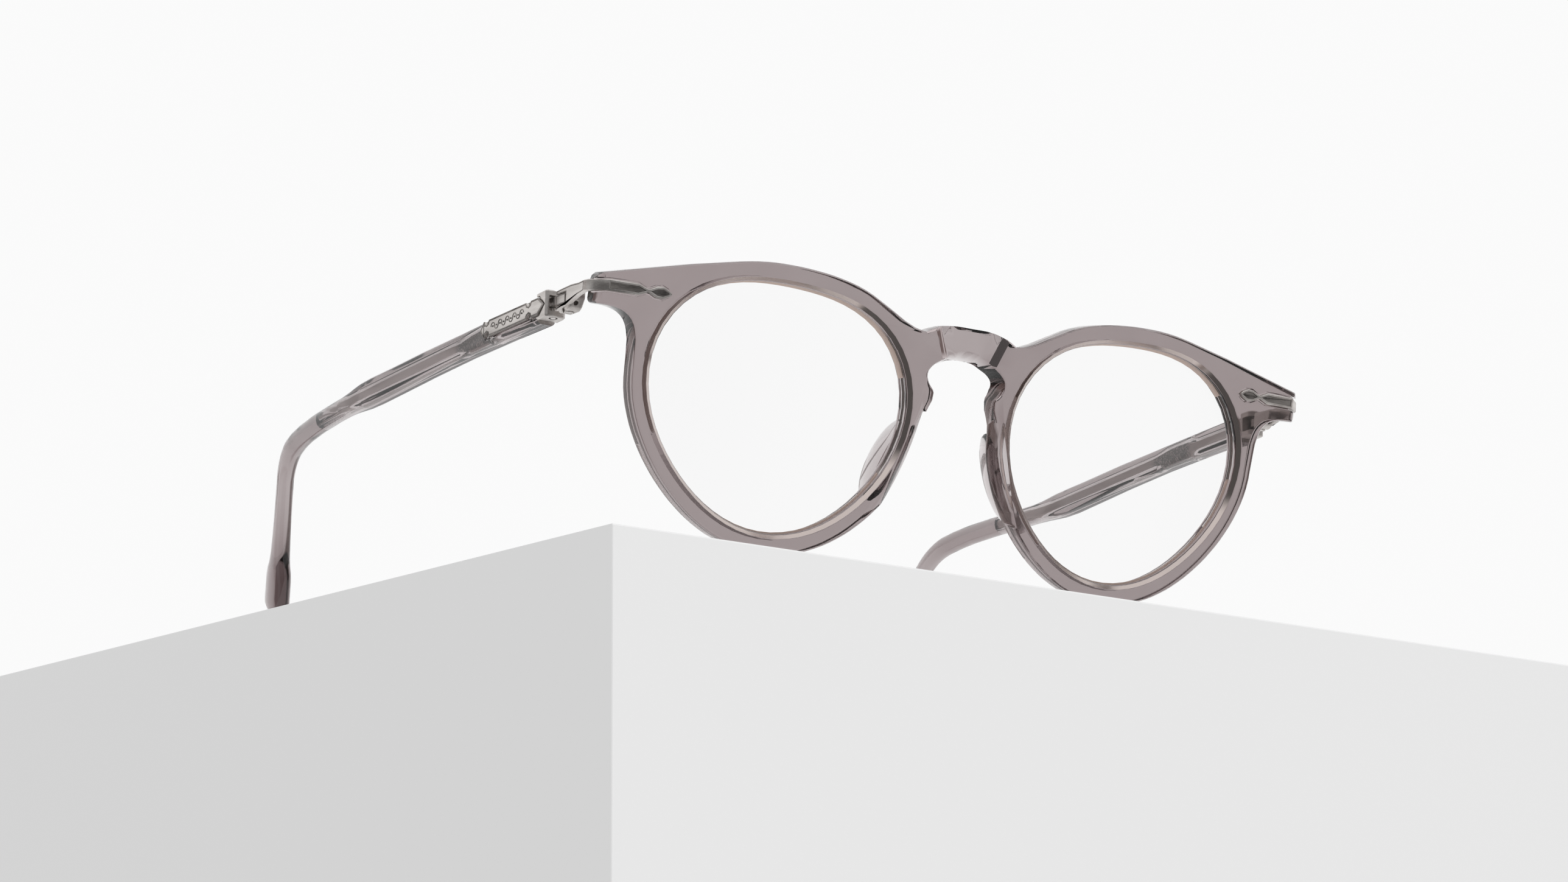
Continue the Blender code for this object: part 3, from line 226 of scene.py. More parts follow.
def node_shape(node):
    """A merged copy of a CAD node's mesh, with its flat faces joined."""
    shape = bmesh.new()
    shape.from_mesh(frame["nodes"][node].data)
    bmesh.ops.remove_doubles(shape, verts=shape.verts[:], dist=MERGE)
    bmesh.ops.dissolve_limit(
        shape, angle_limit=math.radians(FLAT_ANGLE), verts=shape.verts[:], edges=shape.edges[:])
    return shape


def largest_face(shape, direction, least=0.95):
    """The largest face that looks along a direction."""
    facing = [face for face in shape.faces if face.normal.dot(direction) > least]
    if not facing:
        raise RuntimeError("no face looks along %s" % (direction,))
    return max(facing, key=lambda face: face.calc_area())


def outward(side):
    """The direction away from the face on one side of the glasses."""
    return Vector((WAY[side], 0.0, 0.0))


def body_of_node(node):
    for body, nodes in frame["record"]["behaviour"]["bodies"].items():
        if node in nodes:
            return body
    raise RuntimeError("no body holds %s" % node)


def mesh_object(shape, name, materials):
    """Turn a finished shape into an object of the scene."""
    mesh = bpy.data.meshes.new(name)
    shape.to_mesh(mesh)
    shape.free()
    for material in materials:
        mesh.materials.append(material)
    piece = bpy.data.objects.new(name, mesh)
    bpy.context.scene.collection.objects.link(piece)
    return piece


def finish_piece(shape, name, materials, node, sharp_angle=METAL_ANGLE):
    """Turn a finished shape into a smooth-shaded piece that rides with a node's body."""
    piece = mesh_object(shape, name, materials)
    piece.data.shade_smooth()
    piece.data.set_sharp_from_angle(angle=math.radians(sharp_angle))
    weigh = piece.modifiers.new("Even shading", "WEIGHTED_NORMAL")
    weigh.keep_sharp = True
    weigh.weight = 100
    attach(piece, body_of_node(node))
    return piece


def dress_node(node, name, materials, shape=None, sharp_angle=METAL_ANGLE):
    """Put a refined piece in a CAD node's place."""
    piece = finish_piece(shape or node_shape(node), name, materials, node, sharp_angle)
    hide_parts(node)


def inset(shape, face, thickness, depth=0.0):
    """Draw a face in from its outline; returns the ring of new faces round it."""
    ring = bmesh.ops.inset_region(
        shape, faces=[face], thickness=thickness, depth=depth, use_even_offset=True, use_boundary=True)
    return ring["faces"]


def paint(faces, slot):
    """Give faces the material of a slot."""
    for face in faces:
        face.material_index = slot


def engrave_line(shape, face, margin, width, depth):
    """Sink a line that follows a face's outline; rim and outer wall of the line get the second material."""
    rim = inset(shape, face, margin)
    wall = inset(shape, face, width / 2.0, -depth)
    inset(shape, face, width / 2.0, depth)
    paint(rim + wall, 1)


def sink_field(shape, face, margin, slope, depth, slot=0):
    """Leave a rim round a face and lower the field inside it; slot is the field's material."""
    inset(shape, face, margin)
    paint(inset(shape, face, slope, -depth), 1)
    paint([face], slot)


# Shared steps for shaders

def feed(tree, node, inputs):
    """Fill a node's inputs, each with another node's socket, a number or a colour of three parts."""
    for label, value in inputs.items():
        socket = node.inputs[label]
        if isinstance(value, bpy.types.NodeSocket):
            tree.links.new(value, socket)
        elif socket.type == "RGBA":
            socket.default_value = (*value, 1.0)
        else:
            socket.default_value = value


def add_node(tree, kind, inputs=None, **values):
    """A new node with its properties and inputs."""
    node = tree.nodes.new(kind)
    for name, value in values.items():
        setattr(node, name, value)
    feed(tree, node, inputs or {})
    return node


def calculate(tree, operation, *values):
    """A sum on sockets and numbers."""
    return add_node(tree, "ShaderNodeMath", dict(enumerate(values)), operation=operation).outputs[0]


def noise(tree, vector, scale, detail=3.0, roughness=0.5):
    inputs = {"Vector": vector, "Scale": scale, "Detail": detail, "Roughness": roughness}
    return add_node(tree, "ShaderNodeTexNoise", inputs).outputs["Fac"]


def remap(tree, value, low, high, to_low=0.0, to_high=1.0):
    """Stretch a value's range onto another, and hold it there."""
    inputs = {"Value": value, "From Min": low, "From Max": high, "To Min": to_low, "To Max": to_high}
    return add_node(tree, "ShaderNodeMapRange", inputs).outputs["Result"]


def mix_colours(tree, share, first, second):
    """A mix of two colours; each is a socket or a plain colour."""
    inputs = {"Factor": share, MIX_FIRST: first, MIX_SECOND: second}
    return add_node(tree, "ShaderNodeMix", inputs, data_type="RGBA").outputs[MIX_RESULT]


def mix_shaders(tree, share, first, second):
    return add_node(tree, "ShaderNodeMixShader", {"Fac": share, 1: first, 2: second}).outputs["Shader"]


def colour_ramp(tree, value, stops):
    """Colours along a value, as given by pairs of place and colour."""
    node = add_node(tree, "ShaderNodeValToRGB", {"Fac": value})
    ramp = node.color_ramp
    ramp.elements[0].position, ramp.elements[1].position = stops[0][0], stops[-1][0]
    for place, colour in stops[1:-1]:
        ramp.elements.new(place)
    for element, (place, colour) in zip(ramp.elements, stops):
        element.color = (*colour, 1.0)
    return node.outputs["Color"]


def darker(colour, share):
    return tuple(channel * share for channel in colour)


def object_vector(tree, scale=(1.0, 1.0, 1.0)):
    """Object coordinates, stretched."""
    source = tree.nodes.new("ShaderNodeTexCoord")
    inputs = {"Vector": source.outputs["Object"], "Scale": scale}
    return add_node(tree, "ShaderNodeMapping", inputs).outputs["Vector"]


def surface_normal(tree, height, distance, strength, edge_round=0.0):
    """A bump, over softly rounded edges if a radius is given."""
    bump = add_node(tree, "ShaderNodeBump", {"Height": height, "Distance": distance, "Strength": strength})
    if edge_round > 0.0:
        edges = add_node(tree, "ShaderNodeBevel", {"Radius": edge_round}, samples=6)
        feed(tree, bump, {"Normal": edges.outputs["Normal"]})
    return bump.outputs["Normal"]


def new_group(name, inputs):
    """A shader group that puts out a colour, a roughness and a height; inputs are (name, kind, default)."""
    group = bpy.data.node_groups.new(name, "ShaderNodeTree")
    for label, kind, value in inputs:
        socket = group.interface.new_socket(name=label, in_out="INPUT", socket_type=kind)
        if value is not None:
            socket.default_value = value
    for label, kind in (("Color", "Color"), ("Roughness", "Float"), ("Height", "Float")):
        group.interface.new_socket(name=label, in_out="OUTPUT", socket_type="NodeSocket" + kind)
    return group, group.nodes.new("NodeGroupInput").outputs, group.nodes.new("NodeGroupOutput")


def brushed_group(name="Brushed Metal"):
    """Fine streaks along an axis, with slow stains."""
    if name in bpy.data.node_groups:
        return bpy.data.node_groups[name]
    group, given, result = new_group(name, (
        ("Vector", "NodeSocketVector", None), ("Bright", "NodeSocketColor", (0.6, 0.6, 0.6, 1.0)),
        ("Dark", "NodeSocketColor", (0.3, 0.3, 0.3, 1.0)), ("Roughness", "NodeSocketFloat", 0.3)))
    streaks = noise(group, given["Vector"], STREAKS, detail=4.0, roughness=0.6)
    stains = noise(group, given["Vector"], STAINS, roughness=0.55)
    stained = calculate(group, "MULTIPLY_ADD", streaks, 0.55, remap(group, stains, 0.3, 0.7, to_high=0.5))
    feed(group, result, {
        "Color": mix_colours(group, remap(group, stained, 0.25, 0.8), given["Dark"], given["Bright"]),
        "Roughness": calculate(group, "MULTIPLY_ADD", streaks, 0.18, given["Roughness"]), "Height": streaks})
    return group


def polish_group(name="Polished Acetate"):
    """Polished plastic: a faint cloud in the colour, fine rubbing marks and the buffing wheel's slow wave."""
    if name in bpy.data.node_groups:
        return bpy.data.node_groups[name]
    group, given, result = new_group(name, (
        ("Vector", "NodeSocketVector", None), ("Clear", "NodeSocketColor", (1.0, 1.0, 1.0, 1.0)),
        ("Cloud", "NodeSocketColor", (0.9, 0.9, 0.9, 1.0)), ("Polish", "NodeSocketFloat", 0.03)))
    cloud = noise(group, given["Vector"], CLOUDS, detail=2.0)
    marks = noise(group, given["Vector"], RUBBING, detail=2.0)
    wave = noise(group, given["Vector"], BUFFING, detail=1.0, roughness=0.4)
    feed(group, result, {
        "Color": mix_colours(group, remap(group, cloud, 0.35, 0.65), given["Clear"], given["Cloud"]),
        "Roughness": calculate(group, "MULTIPLY_ADD", marks, 0.02, given["Polish"]), "Height": wave})
    return group


# Materials

def new_material(name):
    """A material with a Principled shader; returns the material, its tree and the shader."""
    material = bpy.data.materials.new(name)
    material.use_nodes = True
    return material, material.node_tree, material.node_tree.nodes["Principled BSDF"]


def let_lamps_through(tree, shader, tint):
    """Lamp rays pass the surface with a tint, so that it casts a light shadow."""
    path = tree.nodes.new("ShaderNodeLightPath")
    clear = add_node(tree, "ShaderNodeBsdfTransparent", {"Color": tint})
    mixed = mix_shaders(
        tree, path.outputs["Is Shadow Ray"], shader.outputs["BSDF"], clear.outputs["BSDF"])
    feed(tree, tree.nodes["Material Output"], {"Surface": mixed})


def acetate_material(name, density):
    """Translucent polished acetate whose colour deepens with its thickness."""
    if name in bpy.data.materials:
        return bpy.data.materials[name]
    settings = bpy.context.scene.glasses_acetate
    material, tree, shader = new_material(name)
    polished = add_node(tree, "ShaderNodeGroup", {
        "Vector": object_vector(tree), "Clear": (0.99, 0.985, 0.985), "Cloud": (0.95, 0.94, 0.94),
        "Polish": settings.polish}, node_tree=polish_group())
    feed(tree, shader, {
        "Base Color": polished.outputs["Color"], "Roughness": polished.outputs["Roughness"], "IOR": 1.49,
        "Transmission Weight": 1.0,
        "Normal": surface_normal(tree, polished.outputs["Height"], distance=0.6 * MM, strength=0.03)})
    absorb = add_node(
        tree, "ShaderNodeVolumeAbsorption", {"Color": settings.tint, "Density": density})
    feed(tree, tree.nodes["Material Output"], {"Volume": absorb.outputs["Volume"]})
    let_lamps_through(tree, shader, tint=(0.72, 0.68, 0.68))
    return material


def lens_material(name="Clear lens"):
    """A clear lens without power: it mirrors a little, most aslant, and lets the rest straight through."""
    if name in bpy.data.materials:
        return bpy.data.materials[name]
    settings = bpy.context.scene.glasses_lens
    steepness = 4.0
    material, tree, shader = new_material(name)
    cloud = noise(tree, object_vector(tree), LENS_CLOUDS, detail=2.0)
    weight = tree.nodes.new("ShaderNodeLayerWeight")
    aslant = calculate(tree, "POWER", weight.outputs["Facing"], steepness)
    feed(tree, shader, {
        "Base Color": mix_colours(tree, cloud, settings.tint, darker(settings.tint, 0.97)),
        "Roughness": remap(tree, cloud, 0.3, 0.7, 0.01, 0.03), "Metallic": 1.0,
        "Alpha": remap(tree, aslant, 0.0, 1.0, settings.mirror, settings.mirror_aslant)})
    return material


def ground_edge_material(name="Ground lens edge"):
    """The lens's matt ground edge, warm where it shows through the rim."""
    if name in bpy.data.materials:
        return bpy.data.materials[name]
    colour = bpy.context.scene.glasses_lens.ground_edge
    material, tree, shader = new_material(name)
    grain = noise(tree, object_vector(tree), GROUND_GRAIN, roughness=0.6)
    feed(tree, shader, {
        "Base Color": mix_colours(tree, grain, colour, darker(colour, 0.85)),
        "Roughness": remap(tree, grain, 0.3, 0.7, 0.35, 0.55)})
    return material


def metal_material(name, bright, dark, roughness, stretch):
    """Brushed metal with streaks along the axis that is stretched least."""
    if name in bpy.data.materials:
        return bpy.data.materials[name]
    edge_round = bpy.context.scene.glasses_metal.edge_round
    material, tree, shader = new_material(name)
    brushed = add_node(tree, "ShaderNodeGroup", {
        "Vector": object_vector(tree, stretch), "Bright": bright, "Dark": dark, "Roughness": roughness},
        node_tree=brushed_group())
    normal = surface_normal(
        tree, brushed.outputs["Height"], distance=0.02 * MM, strength=0.35, edge_round=edge_round)
    feed(tree, shader, {
        "Base Color": brushed.outputs["Color"], "Roughness": brushed.outputs["Roughness"], "Metallic": 1.0,
        "Normal": normal})
    return material


def silver():
    settings = bpy.context.scene.glasses_metal
    return metal_material(
        "Antique silver", settings.silver, settings.patina, settings.roughness, stretch=(1.0, 0.12, 1.0))


def recess_metal():
    settings = bpy.context.scene.glasses_metal
    return metal_material(
        "Blackened recess", settings.patina, settings.recess, roughness=0.5, stretch=(1.0, 0.5, 1.0))


def field_metal():
    settings = bpy.context.scene.glasses_metal
    return metal_material(
        "Darkened field", settings.patina, settings.recess, settings.roughness, stretch=(0.12, 1.0, 1.0))


def pin_metal():
    settings = bpy.context.scene.glasses_metal
    return metal_material("Bright pin", settings.pin, settings.silver, roughness=0.2, stretch=(1.0, 1.0, 1.0))


def stippled_wire(name="Stippled core wire"):
    """Satin wire steel; its flat paddle is stippled with small round dents."""
    if name in bpy.data.materials:
        return bpy.data.materials[name]
    settings = bpy.context.scene.glasses_metal
    material, tree, shader = new_material(name)
    vector = object_vector(tree)
    brushed = add_node(tree, "ShaderNodeGroup", {
        "Vector": object_vector(tree, (1.0, 0.04, 1.0)), "Bright": settings.wire, "Dark": settings.wire_dark,
        "Roughness": 0.22}, node_tree=brushed_group())
    cells = add_node(tree, "ShaderNodeTexVoronoi", {"Vector": vector, "Scale": DENTS})
    along = add_node(tree, "ShaderNodeSeparateXYZ", {"Vector": vector}).outputs["Y"]
    plaque_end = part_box("plaque_right")[1][1]
    start, end = plaque_end + PADDLE_START, plaque_end + PADDLE_END
    on_paddle = calculate(
        tree, "MULTIPLY", remap(tree, along, start, start + PADDLE_FADE),
        remap(tree, along, end - PADDLE_FADE, end, 1.0, 0.0))
    dents = calculate(tree, "MULTIPLY", remap(tree, cells.outputs["Distance"], 0.15, 0.5), on_paddle)
    feed(tree, shader, {
        "Base Color": mix_colours(tree, dents, brushed.outputs["Color"], settings.recess),
        "Roughness": brushed.outputs["Roughness"], "Metallic": 1.0,
        "Normal": surface_normal(tree, dents, distance=0.08 * MM, strength=0.5, edge_round=0.1 * MM)})
    return material


def cut_edge_material(name, tint, roughness):
    """A polished cut whose wall throws all light back from inside, like a tinted mirror."""
    if name in bpy.data.materials:
        return bpy.data.materials[name]
    material, tree, shader = new_material(name)
    cloud = noise(tree, object_vector(tree), CLOUDS)
    feed(tree, shader, {
        "Base Color": mix_colours(tree, cloud, tint, darker(tint, 0.85)),
        "Roughness": remap(tree, cloud, 0.3, 0.7, roughness, roughness * 1.6), "Metallic": 1.0})
    return material


def opening_bevel():
    return cut_edge_material("Opening bevel", bpy.context.scene.glasses_acetate.bevel_tint, roughness=0.10)


def step_flank():
    return cut_edge_material("Step flank", bpy.context.scene.glasses_acetate.flank_tint, roughness=0.08)


def frame_acetate():
    return acetate_material("Grey mauve acetate", bpy.context.scene.glasses_acetate.density)


def pad_acetate():
    return acetate_material("Pale pad acetate", bpy.context.scene.glasses_acetate.pad_density)


def plinth_material(colour, name="Painted plinth"):
    """Matt paint with slow patches and a fine grain."""
    if name in bpy.data.materials:
        return bpy.data.materials[name]
    material, tree, shader = new_material(name)
    vector = object_vector(tree)
    grain = noise(tree, vector, PAINT_GRAIN, roughness=0.6)
    patches = noise(tree, vector, PAINT_PATCHES, detail=2.0)
    feed(tree, shader, {
        "Base Color": mix_colours(tree, patches, colour, darker(colour, 0.97)), "Roughness": 0.75,
        "Specular IOR Level": 0.15,
        "Normal": surface_normal(tree, grain, distance=0.05 * MM, strength=0.2)})
    return material


# Operators, one for each group of pieces

def lean_keyhole(shape):
    """Let the keyhole's walls lean inwards to the back, most under the bridge."""
    settings = bpy.context.scene.glasses_keyhole
    crown_width, headroom, footroom = 1.0 * MM, 0.6 * MM, 0.4 * MM
    behind = largest_face(shape, BACK).normal
    back = Vector((0.0, behind.y, behind.z)).normalized()
    up = Vector((0.0, -back.z, back.y))
    near = [vert for vert in shape.verts if abs(vert.co.x) < settings.reach]
    rear = max(vert.co.dot(back) for vert in near)
    crown = min(vert.co.dot(up) for vert in near if abs(vert.co.x) < crown_width)
    middle = crown - settings.height / 2.0
    for vert in near:
        rise = vert.co.dot(up) - middle
        away = math.hypot(vert.co.x, rise)
        if away > settings.reach or rise > crown - middle + headroom:
            continue
        share = min(max((vert.co.dot(back) - rear + settings.wall) / settings.wall, 0.0), 1.0)
        share *= min(max((rise + settings.height / 2.0 + footroom) / settings.fade, 0.0), 1.0)
        step = share * (settings.side_lean + settings.crown_lean * max(rise / away, 0.0))
        vert.co += (Vector((-vert.co.x, 0.0, 0.0)) - up * rise) / away * step


def mark_opening_bevels(shape, slot):
    """Give the bevel round each lens opening's front edge its own material, short of its own edges."""
    reach, edge = 30.0 * MM, 0.22 * MM
    least_forward, least_inward, most_inward = 0.3, 0.45, 0.9
    for side in SIDES:
        low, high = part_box("lens_" + side)
        centre = (Vector(low) + Vector(high)) / 2.0
        bevel = []
        for face in shape.faces:
            inward = centre - face.calc_center_median()
            inward.y = 0.0
            if inward.length > reach or face.normal.y > -least_forward:
                continue
            if least_inward < face.normal.dot(inward.normalized()) < most_inward:
                bevel.append(face)
        bmesh.ops.inset_region(shape, faces=bevel, thickness=edge, use_even_offset=True, use_boundary=True)
        paint(bevel, slot)


def mark_step_flanks(shape, slot):
    """Give the two flanks of the step milled across the bridge their own material."""
    reach, least_forward, least_aside, most_aside = 9.0 * MM, 0.75, 0.3, 0.6
    flanks = [
        face for face in shape.faces
        if abs(face.calc_center_median().x) < reach and face.normal.y < -least_forward
        and least_aside < abs(face.normal.x) < most_aside]
    paint(flanks, slot)


class GLASSES_OT_front(bpy.types.Operator):
    """Lean the keyhole's walls and polish the acetate front"""
    bl_idname = "glasses.front"
    bl_label = "Front"

    def execute(self, context):
        shape = node_shape("front")
        lean_keyhole(shape)
        mark_opening_bevels(shape, 1)
        mark_step_flanks(shape, 2)
        materials = [frame_acetate(), opening_bevel(), step_flank()]
        dress_node("front", "polished_front", materials, shape, ACETATE_ANGLE)
        return {"FINISHED"}


def pad_shape(side, settings):
    """A leaf whose root is cut off flat behind the rim."""
    mirror = Matrix.Diagonal((WAY[side], 1.0, 1.0))
    origin = Vector((0.0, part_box("front")[0][1], 0.0))
    top = origin + mirror @ Vector(settings.top)
    foot = origin + mirror @ Vector(settings.foot)
    along = (foot - top).normalized()
    back = mirror @ Vector(PAD_BACK)
    back = (back - along * back.dot(along)).normalized()
    place = Matrix((along, back, along.cross(back).normalized())).transposed().to_4x4()
    place.translation = (top + foot) / 2.0
    half = ((foot - top).length / 2.0, settings.reach, settings.thickness / 2.0)
    shape = bmesh.new()
    bmesh.ops.create_uvsphere(
        shape, u_segments=40, v_segments=20, radius=1.0, matrix=place @ Matrix.Diagonal((*half, 1.0)))
    plain = node_shape("nose_pad_" + side)
    root = largest_face(plain, -BACK)
    facing = root.normal.copy()
    seat = root.calc_center_median() + facing * (PAD_GAP - settings.seam)
    plain.free()
    cut = bmesh.ops.bisect_plane(
        shape, geom=shape.verts[:] + shape.edges[:] + shape.faces[:], dist=MERGE / 10.0, plane_co=seat,
        plane_no=facing, clear_outer=True, clear_inner=False)
    rim = [item for item in cut["geom_cut"] if isinstance(item, bmesh.types.BMEdge)]
    bmesh.ops.contextual_create(shape, geom=rim)
    bmesh.ops.recalc_face_normals(shape, faces=shape.faces[:])
    return shape


class GLASSES_OT_pads(bpy.types.Operator):
    """Set the pale nose pads behind the rims"""
    bl_idname = "glasses.pads"
    bl_label = "Nose Pads"

    def execute(self, context):
        for side in SIDES:
            shape = pad_shape(side, context.scene.glasses_pads)
            dress_node("nose_pad_" + side, "polished_pad_" + side, [pad_acetate()], shape, ACETATE_ANGLE)
        return {"FINISHED"}


class GLASSES_OT_lenses(bpy.types.Operator):
    """Set the clear lenses, with their ground edges"""
    bl_idname = "glasses.lenses"
    bl_label = "Lenses"

    def execute(self, context):
        edge_tilt = 0.8
        for side in SIDES:
            shape = node_shape("lens_" + side)
            paint([face for face in shape.faces if abs(face.normal.y) < edge_tilt], 1)
            materials = [lens_material(), ground_edge_material()]
            dress_node("lens_" + side, "clear_lens_" + side, materials, shape)
        return {"FINISHED"}


class GLASSES_OT_end_pieces(bpy.types.Operator):
    """Chase the metal end pieces, with their panels, rivets and pins"""
    bl_idname = "glasses.end_pieces"
    bl_label = "End Pieces"

    def execute(self, context):
        groove = context.scene.glasses_ornament.groove
        depth = context.scene.glasses_ornament.depth
        for side in SIDES:
            arm = node_shape("end_piece_" + side)
            sink_field(arm, largest_face(arm, -BACK), margin=0.26 * MM, slope=0.1 * MM, depth=depth, slot=2)
            engrave_line(arm, largest_face(arm, outward(side)), margin=0.12 * MM, width=groove, depth=depth)
            materials = [silver(), recess_metal(), field_metal()]
            dress_node("end_piece_" + side, "chased_end_piece_" + side, materials, arm)
            panel = node_shape("arm_panel_" + side)
            engrave_line(
                panel, largest_face(panel, outward(side)), margin=0.15 * MM, width=groove, depth=depth / 2.0)
            dress_node("arm_panel_" + side, "inlaid_panel_" + side, [silver(), recess_metal()], panel)
            rivet = node_shape("arm_rivet_" + side)
            sink_field(rivet, largest_face(rivet, -UP), margin=0.16 * MM, slope=0.06 * MM, depth=0.06 * MM)
            dress_node("arm_rivet_" + side, "ring_rivet_" + side, [pin_metal(), recess_metal()], rivet)
            for number in LUG_PINS:
                node = "lug_pin_%d_%s" % (number, side)
                dress_node(node, "steel_" + node, [pin_metal()])
        return {"FINISHED"}


class GLASSES_OT_heads(bpy.types.Operator):
    """Finish the forked temple heads and their screws"""
    bl_idname = "glasses.heads"
    bl_label = "Hinge Heads"

    def execute(self, context):
        for side in SIDES:
            dress_node("temple_head_" + side, "forked_head_" + side, [silver()])
            screw = node_shape("hinge_screw_" + side)
            for end in (UP, -UP):
                face = largest_face(screw, end)
                sink_field(screw, face, margin=0.12 * MM, slope=0.05 * MM, depth=0.05 * MM)
            dress_node("hinge_screw_" + side, "ringed_screw_" + side, [pin_metal(), recess_metal()], screw)
        return {"FINISHED"}


class GLASSES_OT_temples(bpy.types.Operator):
    """Polish the acetate temples round their core wires"""
    bl_idname = "glasses.temples"
    bl_label = "Temples"

    def execute(self, context):
        end_depth, least_forward = 1.0 * MM, 0.9
        for side in SIDES:
            shape = node_shape("temple_" + side)
            ahead = min(vert.co.y for vert in shape.verts)
            front_end = [
                face for face in shape.faces
                if face.normal.y < -least_forward and face.calc_center_median().y < ahead + end_depth]
            paint(front_end, 1)
            materials = [frame_acetate(), silver()]
            dress_node("temple_" + side, "polished_temple_" + side, materials, shape, ACETATE_ANGLE)
            dress_node("core_wire_" + side, "stippled_wire_" + side, [stippled_wire()])
        return {"FINISHED"}


def plaque_axes(shape, side):
    """The plaque's outer face, and its directions: along it to the front, up, and out of the face."""
    face = largest_face(shape, outward(side))
    out = face.normal.copy()
    along = out.cross(largest_face(shape, UP).normal).normalized() * WAY[side]
    return face, along, along.cross(out).normalized() * WAY[side], out


def vine_shape(centre, along, up, out, settings):
    """A running vine of half turns that curl to either side, with a bud in each turn."""
    radius, turns = settings.vine_radius, settings.vine_turns
    stem, bud, flat, thin = settings.groove * 0.9, radius * 0.42, 0.62, 0.5
    stem_turn = Matrix((along, out, up)).transposed().to_4x4()
    bud_turn = Matrix((along, up, out)).transposed().to_4x4() @ Matrix.Diagonal((1.0, flat, thin, 1.0))
    shape = bmesh.new()
    for index in range(turns):
        middle = centre + along * radius * (2.0 * index + 1.0 - turns)
        stem_turn.translation = middle - along * radius
        circle = bmesh.ops.create_circle(shape, cap_ends=False, segments=8, radius=stem, matrix=stem_turn)
        ring = circle["verts"]
        edges = list(dict.fromkeys(edge for vert in ring for edge in vert.link_edges))
        way = 1.0 if index % 2 else -1.0
        bmesh.ops.spin(
            shape, geom=ring + edges, cent=middle, axis=out, angle=way * math.pi, steps=14,
            use_merge=False, use_duplicate=False)
        bud_turn.translation = middle
        bmesh.ops.create_uvsphere(shape, u_segments=12, v_segments=8, radius=bud, matrix=bud_turn)
    bmesh.ops.remove_doubles(shape, verts=shape.verts[:], dist=MERGE)
    bmesh.ops.holes_fill(shape, edges=[edge for edge in shape.edges if edge.is_boundary], sides=0)
    bmesh.ops.recalc_face_normals(shape, faces=shape.faces[:])
    return shape


class GLASSES_OT_plaques(bpy.types.Operator):
    """Engrave the plaques and seat their pins"""
    bl_idname = "glasses.plaques"
    bl_label = "Plaques"

    def execute(self, context):
        settings = context.scene.glasses_ornament
        for side in SIDES:
            node = "plaque_" + side
            pin_nodes = ["plaque_pin_%d_%s" % (number, side) for number in PLAQUE_PINS]
            corners = [Vector(corner) for pin_node in pin_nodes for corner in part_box(pin_node)]
            middle = sum(corners, Vector()) / len(corners)
            shape = node_shape(node)
            face, along, up, out = plaque_axes(shape, side)
            centre = middle + out * (face.calc_center_median() - middle).dot(out)
            engrave_line(shape, face, settings.border, settings.groove, settings.depth)
            dress_node(node, "engraved_" + node, [silver(), recess_metal()], shape)
            vine = vine_shape(centre, along, up, out, settings)
            finish_piece(vine, "vine_" + side, [recess_metal()], node)
            for pin_node in pin_nodes:
                pin = node_shape(pin_node)
                sink_field(pin, largest_face(pin, out), margin=0.1 * MM, slope=0.1 * MM, depth=0.1 * MM)
                dress_node(pin_node, "ring_" + pin_node, [pin_metal(), recess_metal()], pin)
        return {"FINISHED"}


# Stage

def camera_frame(settings):
    """The camera's place, view direction, right and up."""
    hinges = [Vector(joint["pos_m"]) for joint in frame["joints"]]
    place = sum(hinges, Vector()) / len(hinges) + Vector(settings.offset)
    yaw, pitch, roll = settings.yaw, settings.pitch, settings.roll
    ahead = Vector((math.sin(yaw) * math.cos(pitch), math.cos(yaw) * math.cos(pitch), math.sin(pitch)))
    level = Vector((math.cos(yaw), -math.sin(yaw), 0.0))
    above = level.cross(ahead)
    right = level * math.cos(roll) + above * math.sin(roll)
    up = above * math.cos(roll) - level * math.sin(roll)
    return place, ahead, right, up


def picture_ray(settings, pixel):
    """Direction of the ray through a point of the picture, one long along the view."""
    place, ahead, right, up = camera_frame(settings)
    across = (pixel[0] - PHOTO_SIZE[0] / 2.0) / settings.focal
    rise = (PHOTO_SIZE[1] / 2.0 - pixel[1]) / settings.focal
    return ahead + right * across + up * rise


def on_ground(settings, pixel):
    """Where the ray through a point of the picture meets the level that the glasses stand on."""
    place = camera_frame(settings)[0]
    ray = picture_ray(settings, pixel)
    return place - ray * (place.z / ray.z)


def build_plinth(view, colour):
    """A plinth whose corner and edges run through the photo's points."""
    place, ahead = camera_frame(view)[:2]
    corner = on_ground(view, PLINTH_CORNER)
    left = (on_ground(view, PLINTH_LEFT) - corner).normalized() * PLINTH_REACH
    right = (on_ground(view, PLINTH_RIGHT) - corner).normalized() * PLINTH_REACH
    low = place + picture_ray(view, PLINTH_FOOT) * (corner - place).dot(ahead)
    shape = bmesh.new()
    points = (corner, corner + right, corner + left + right, corner + left)
    top = shape.faces.new([shape.verts.new(point) for point in points])
    lower = bmesh.ops.extrude_face_region(shape, geom=[top])["geom"]
    verts = [item for item in lower if isinstance(item, bmesh.types.BMVert)]
    bmesh.ops.translate(shape, verts=verts, vec=(low - corner) * PLINTH_DROP)
    bmesh.ops.recalc_face_normals(shape, faces=shape.faces[:])
    bmesh.ops.bevel(
        shape, geom=shape.edges[:], offset=PLINTH_ROUND, offset_type="OFFSET", segments=2, profile=0.5,
        affect="EDGES", material=-1)
    plinth = mesh_object(shape, "plinth", [plinth_material(colour)])


def background(tree, colour, strength):
    node = add_node(tree, "ShaderNodeBackground", {"Color": colour, "Strength": strength})
    return node.outputs["Background"]


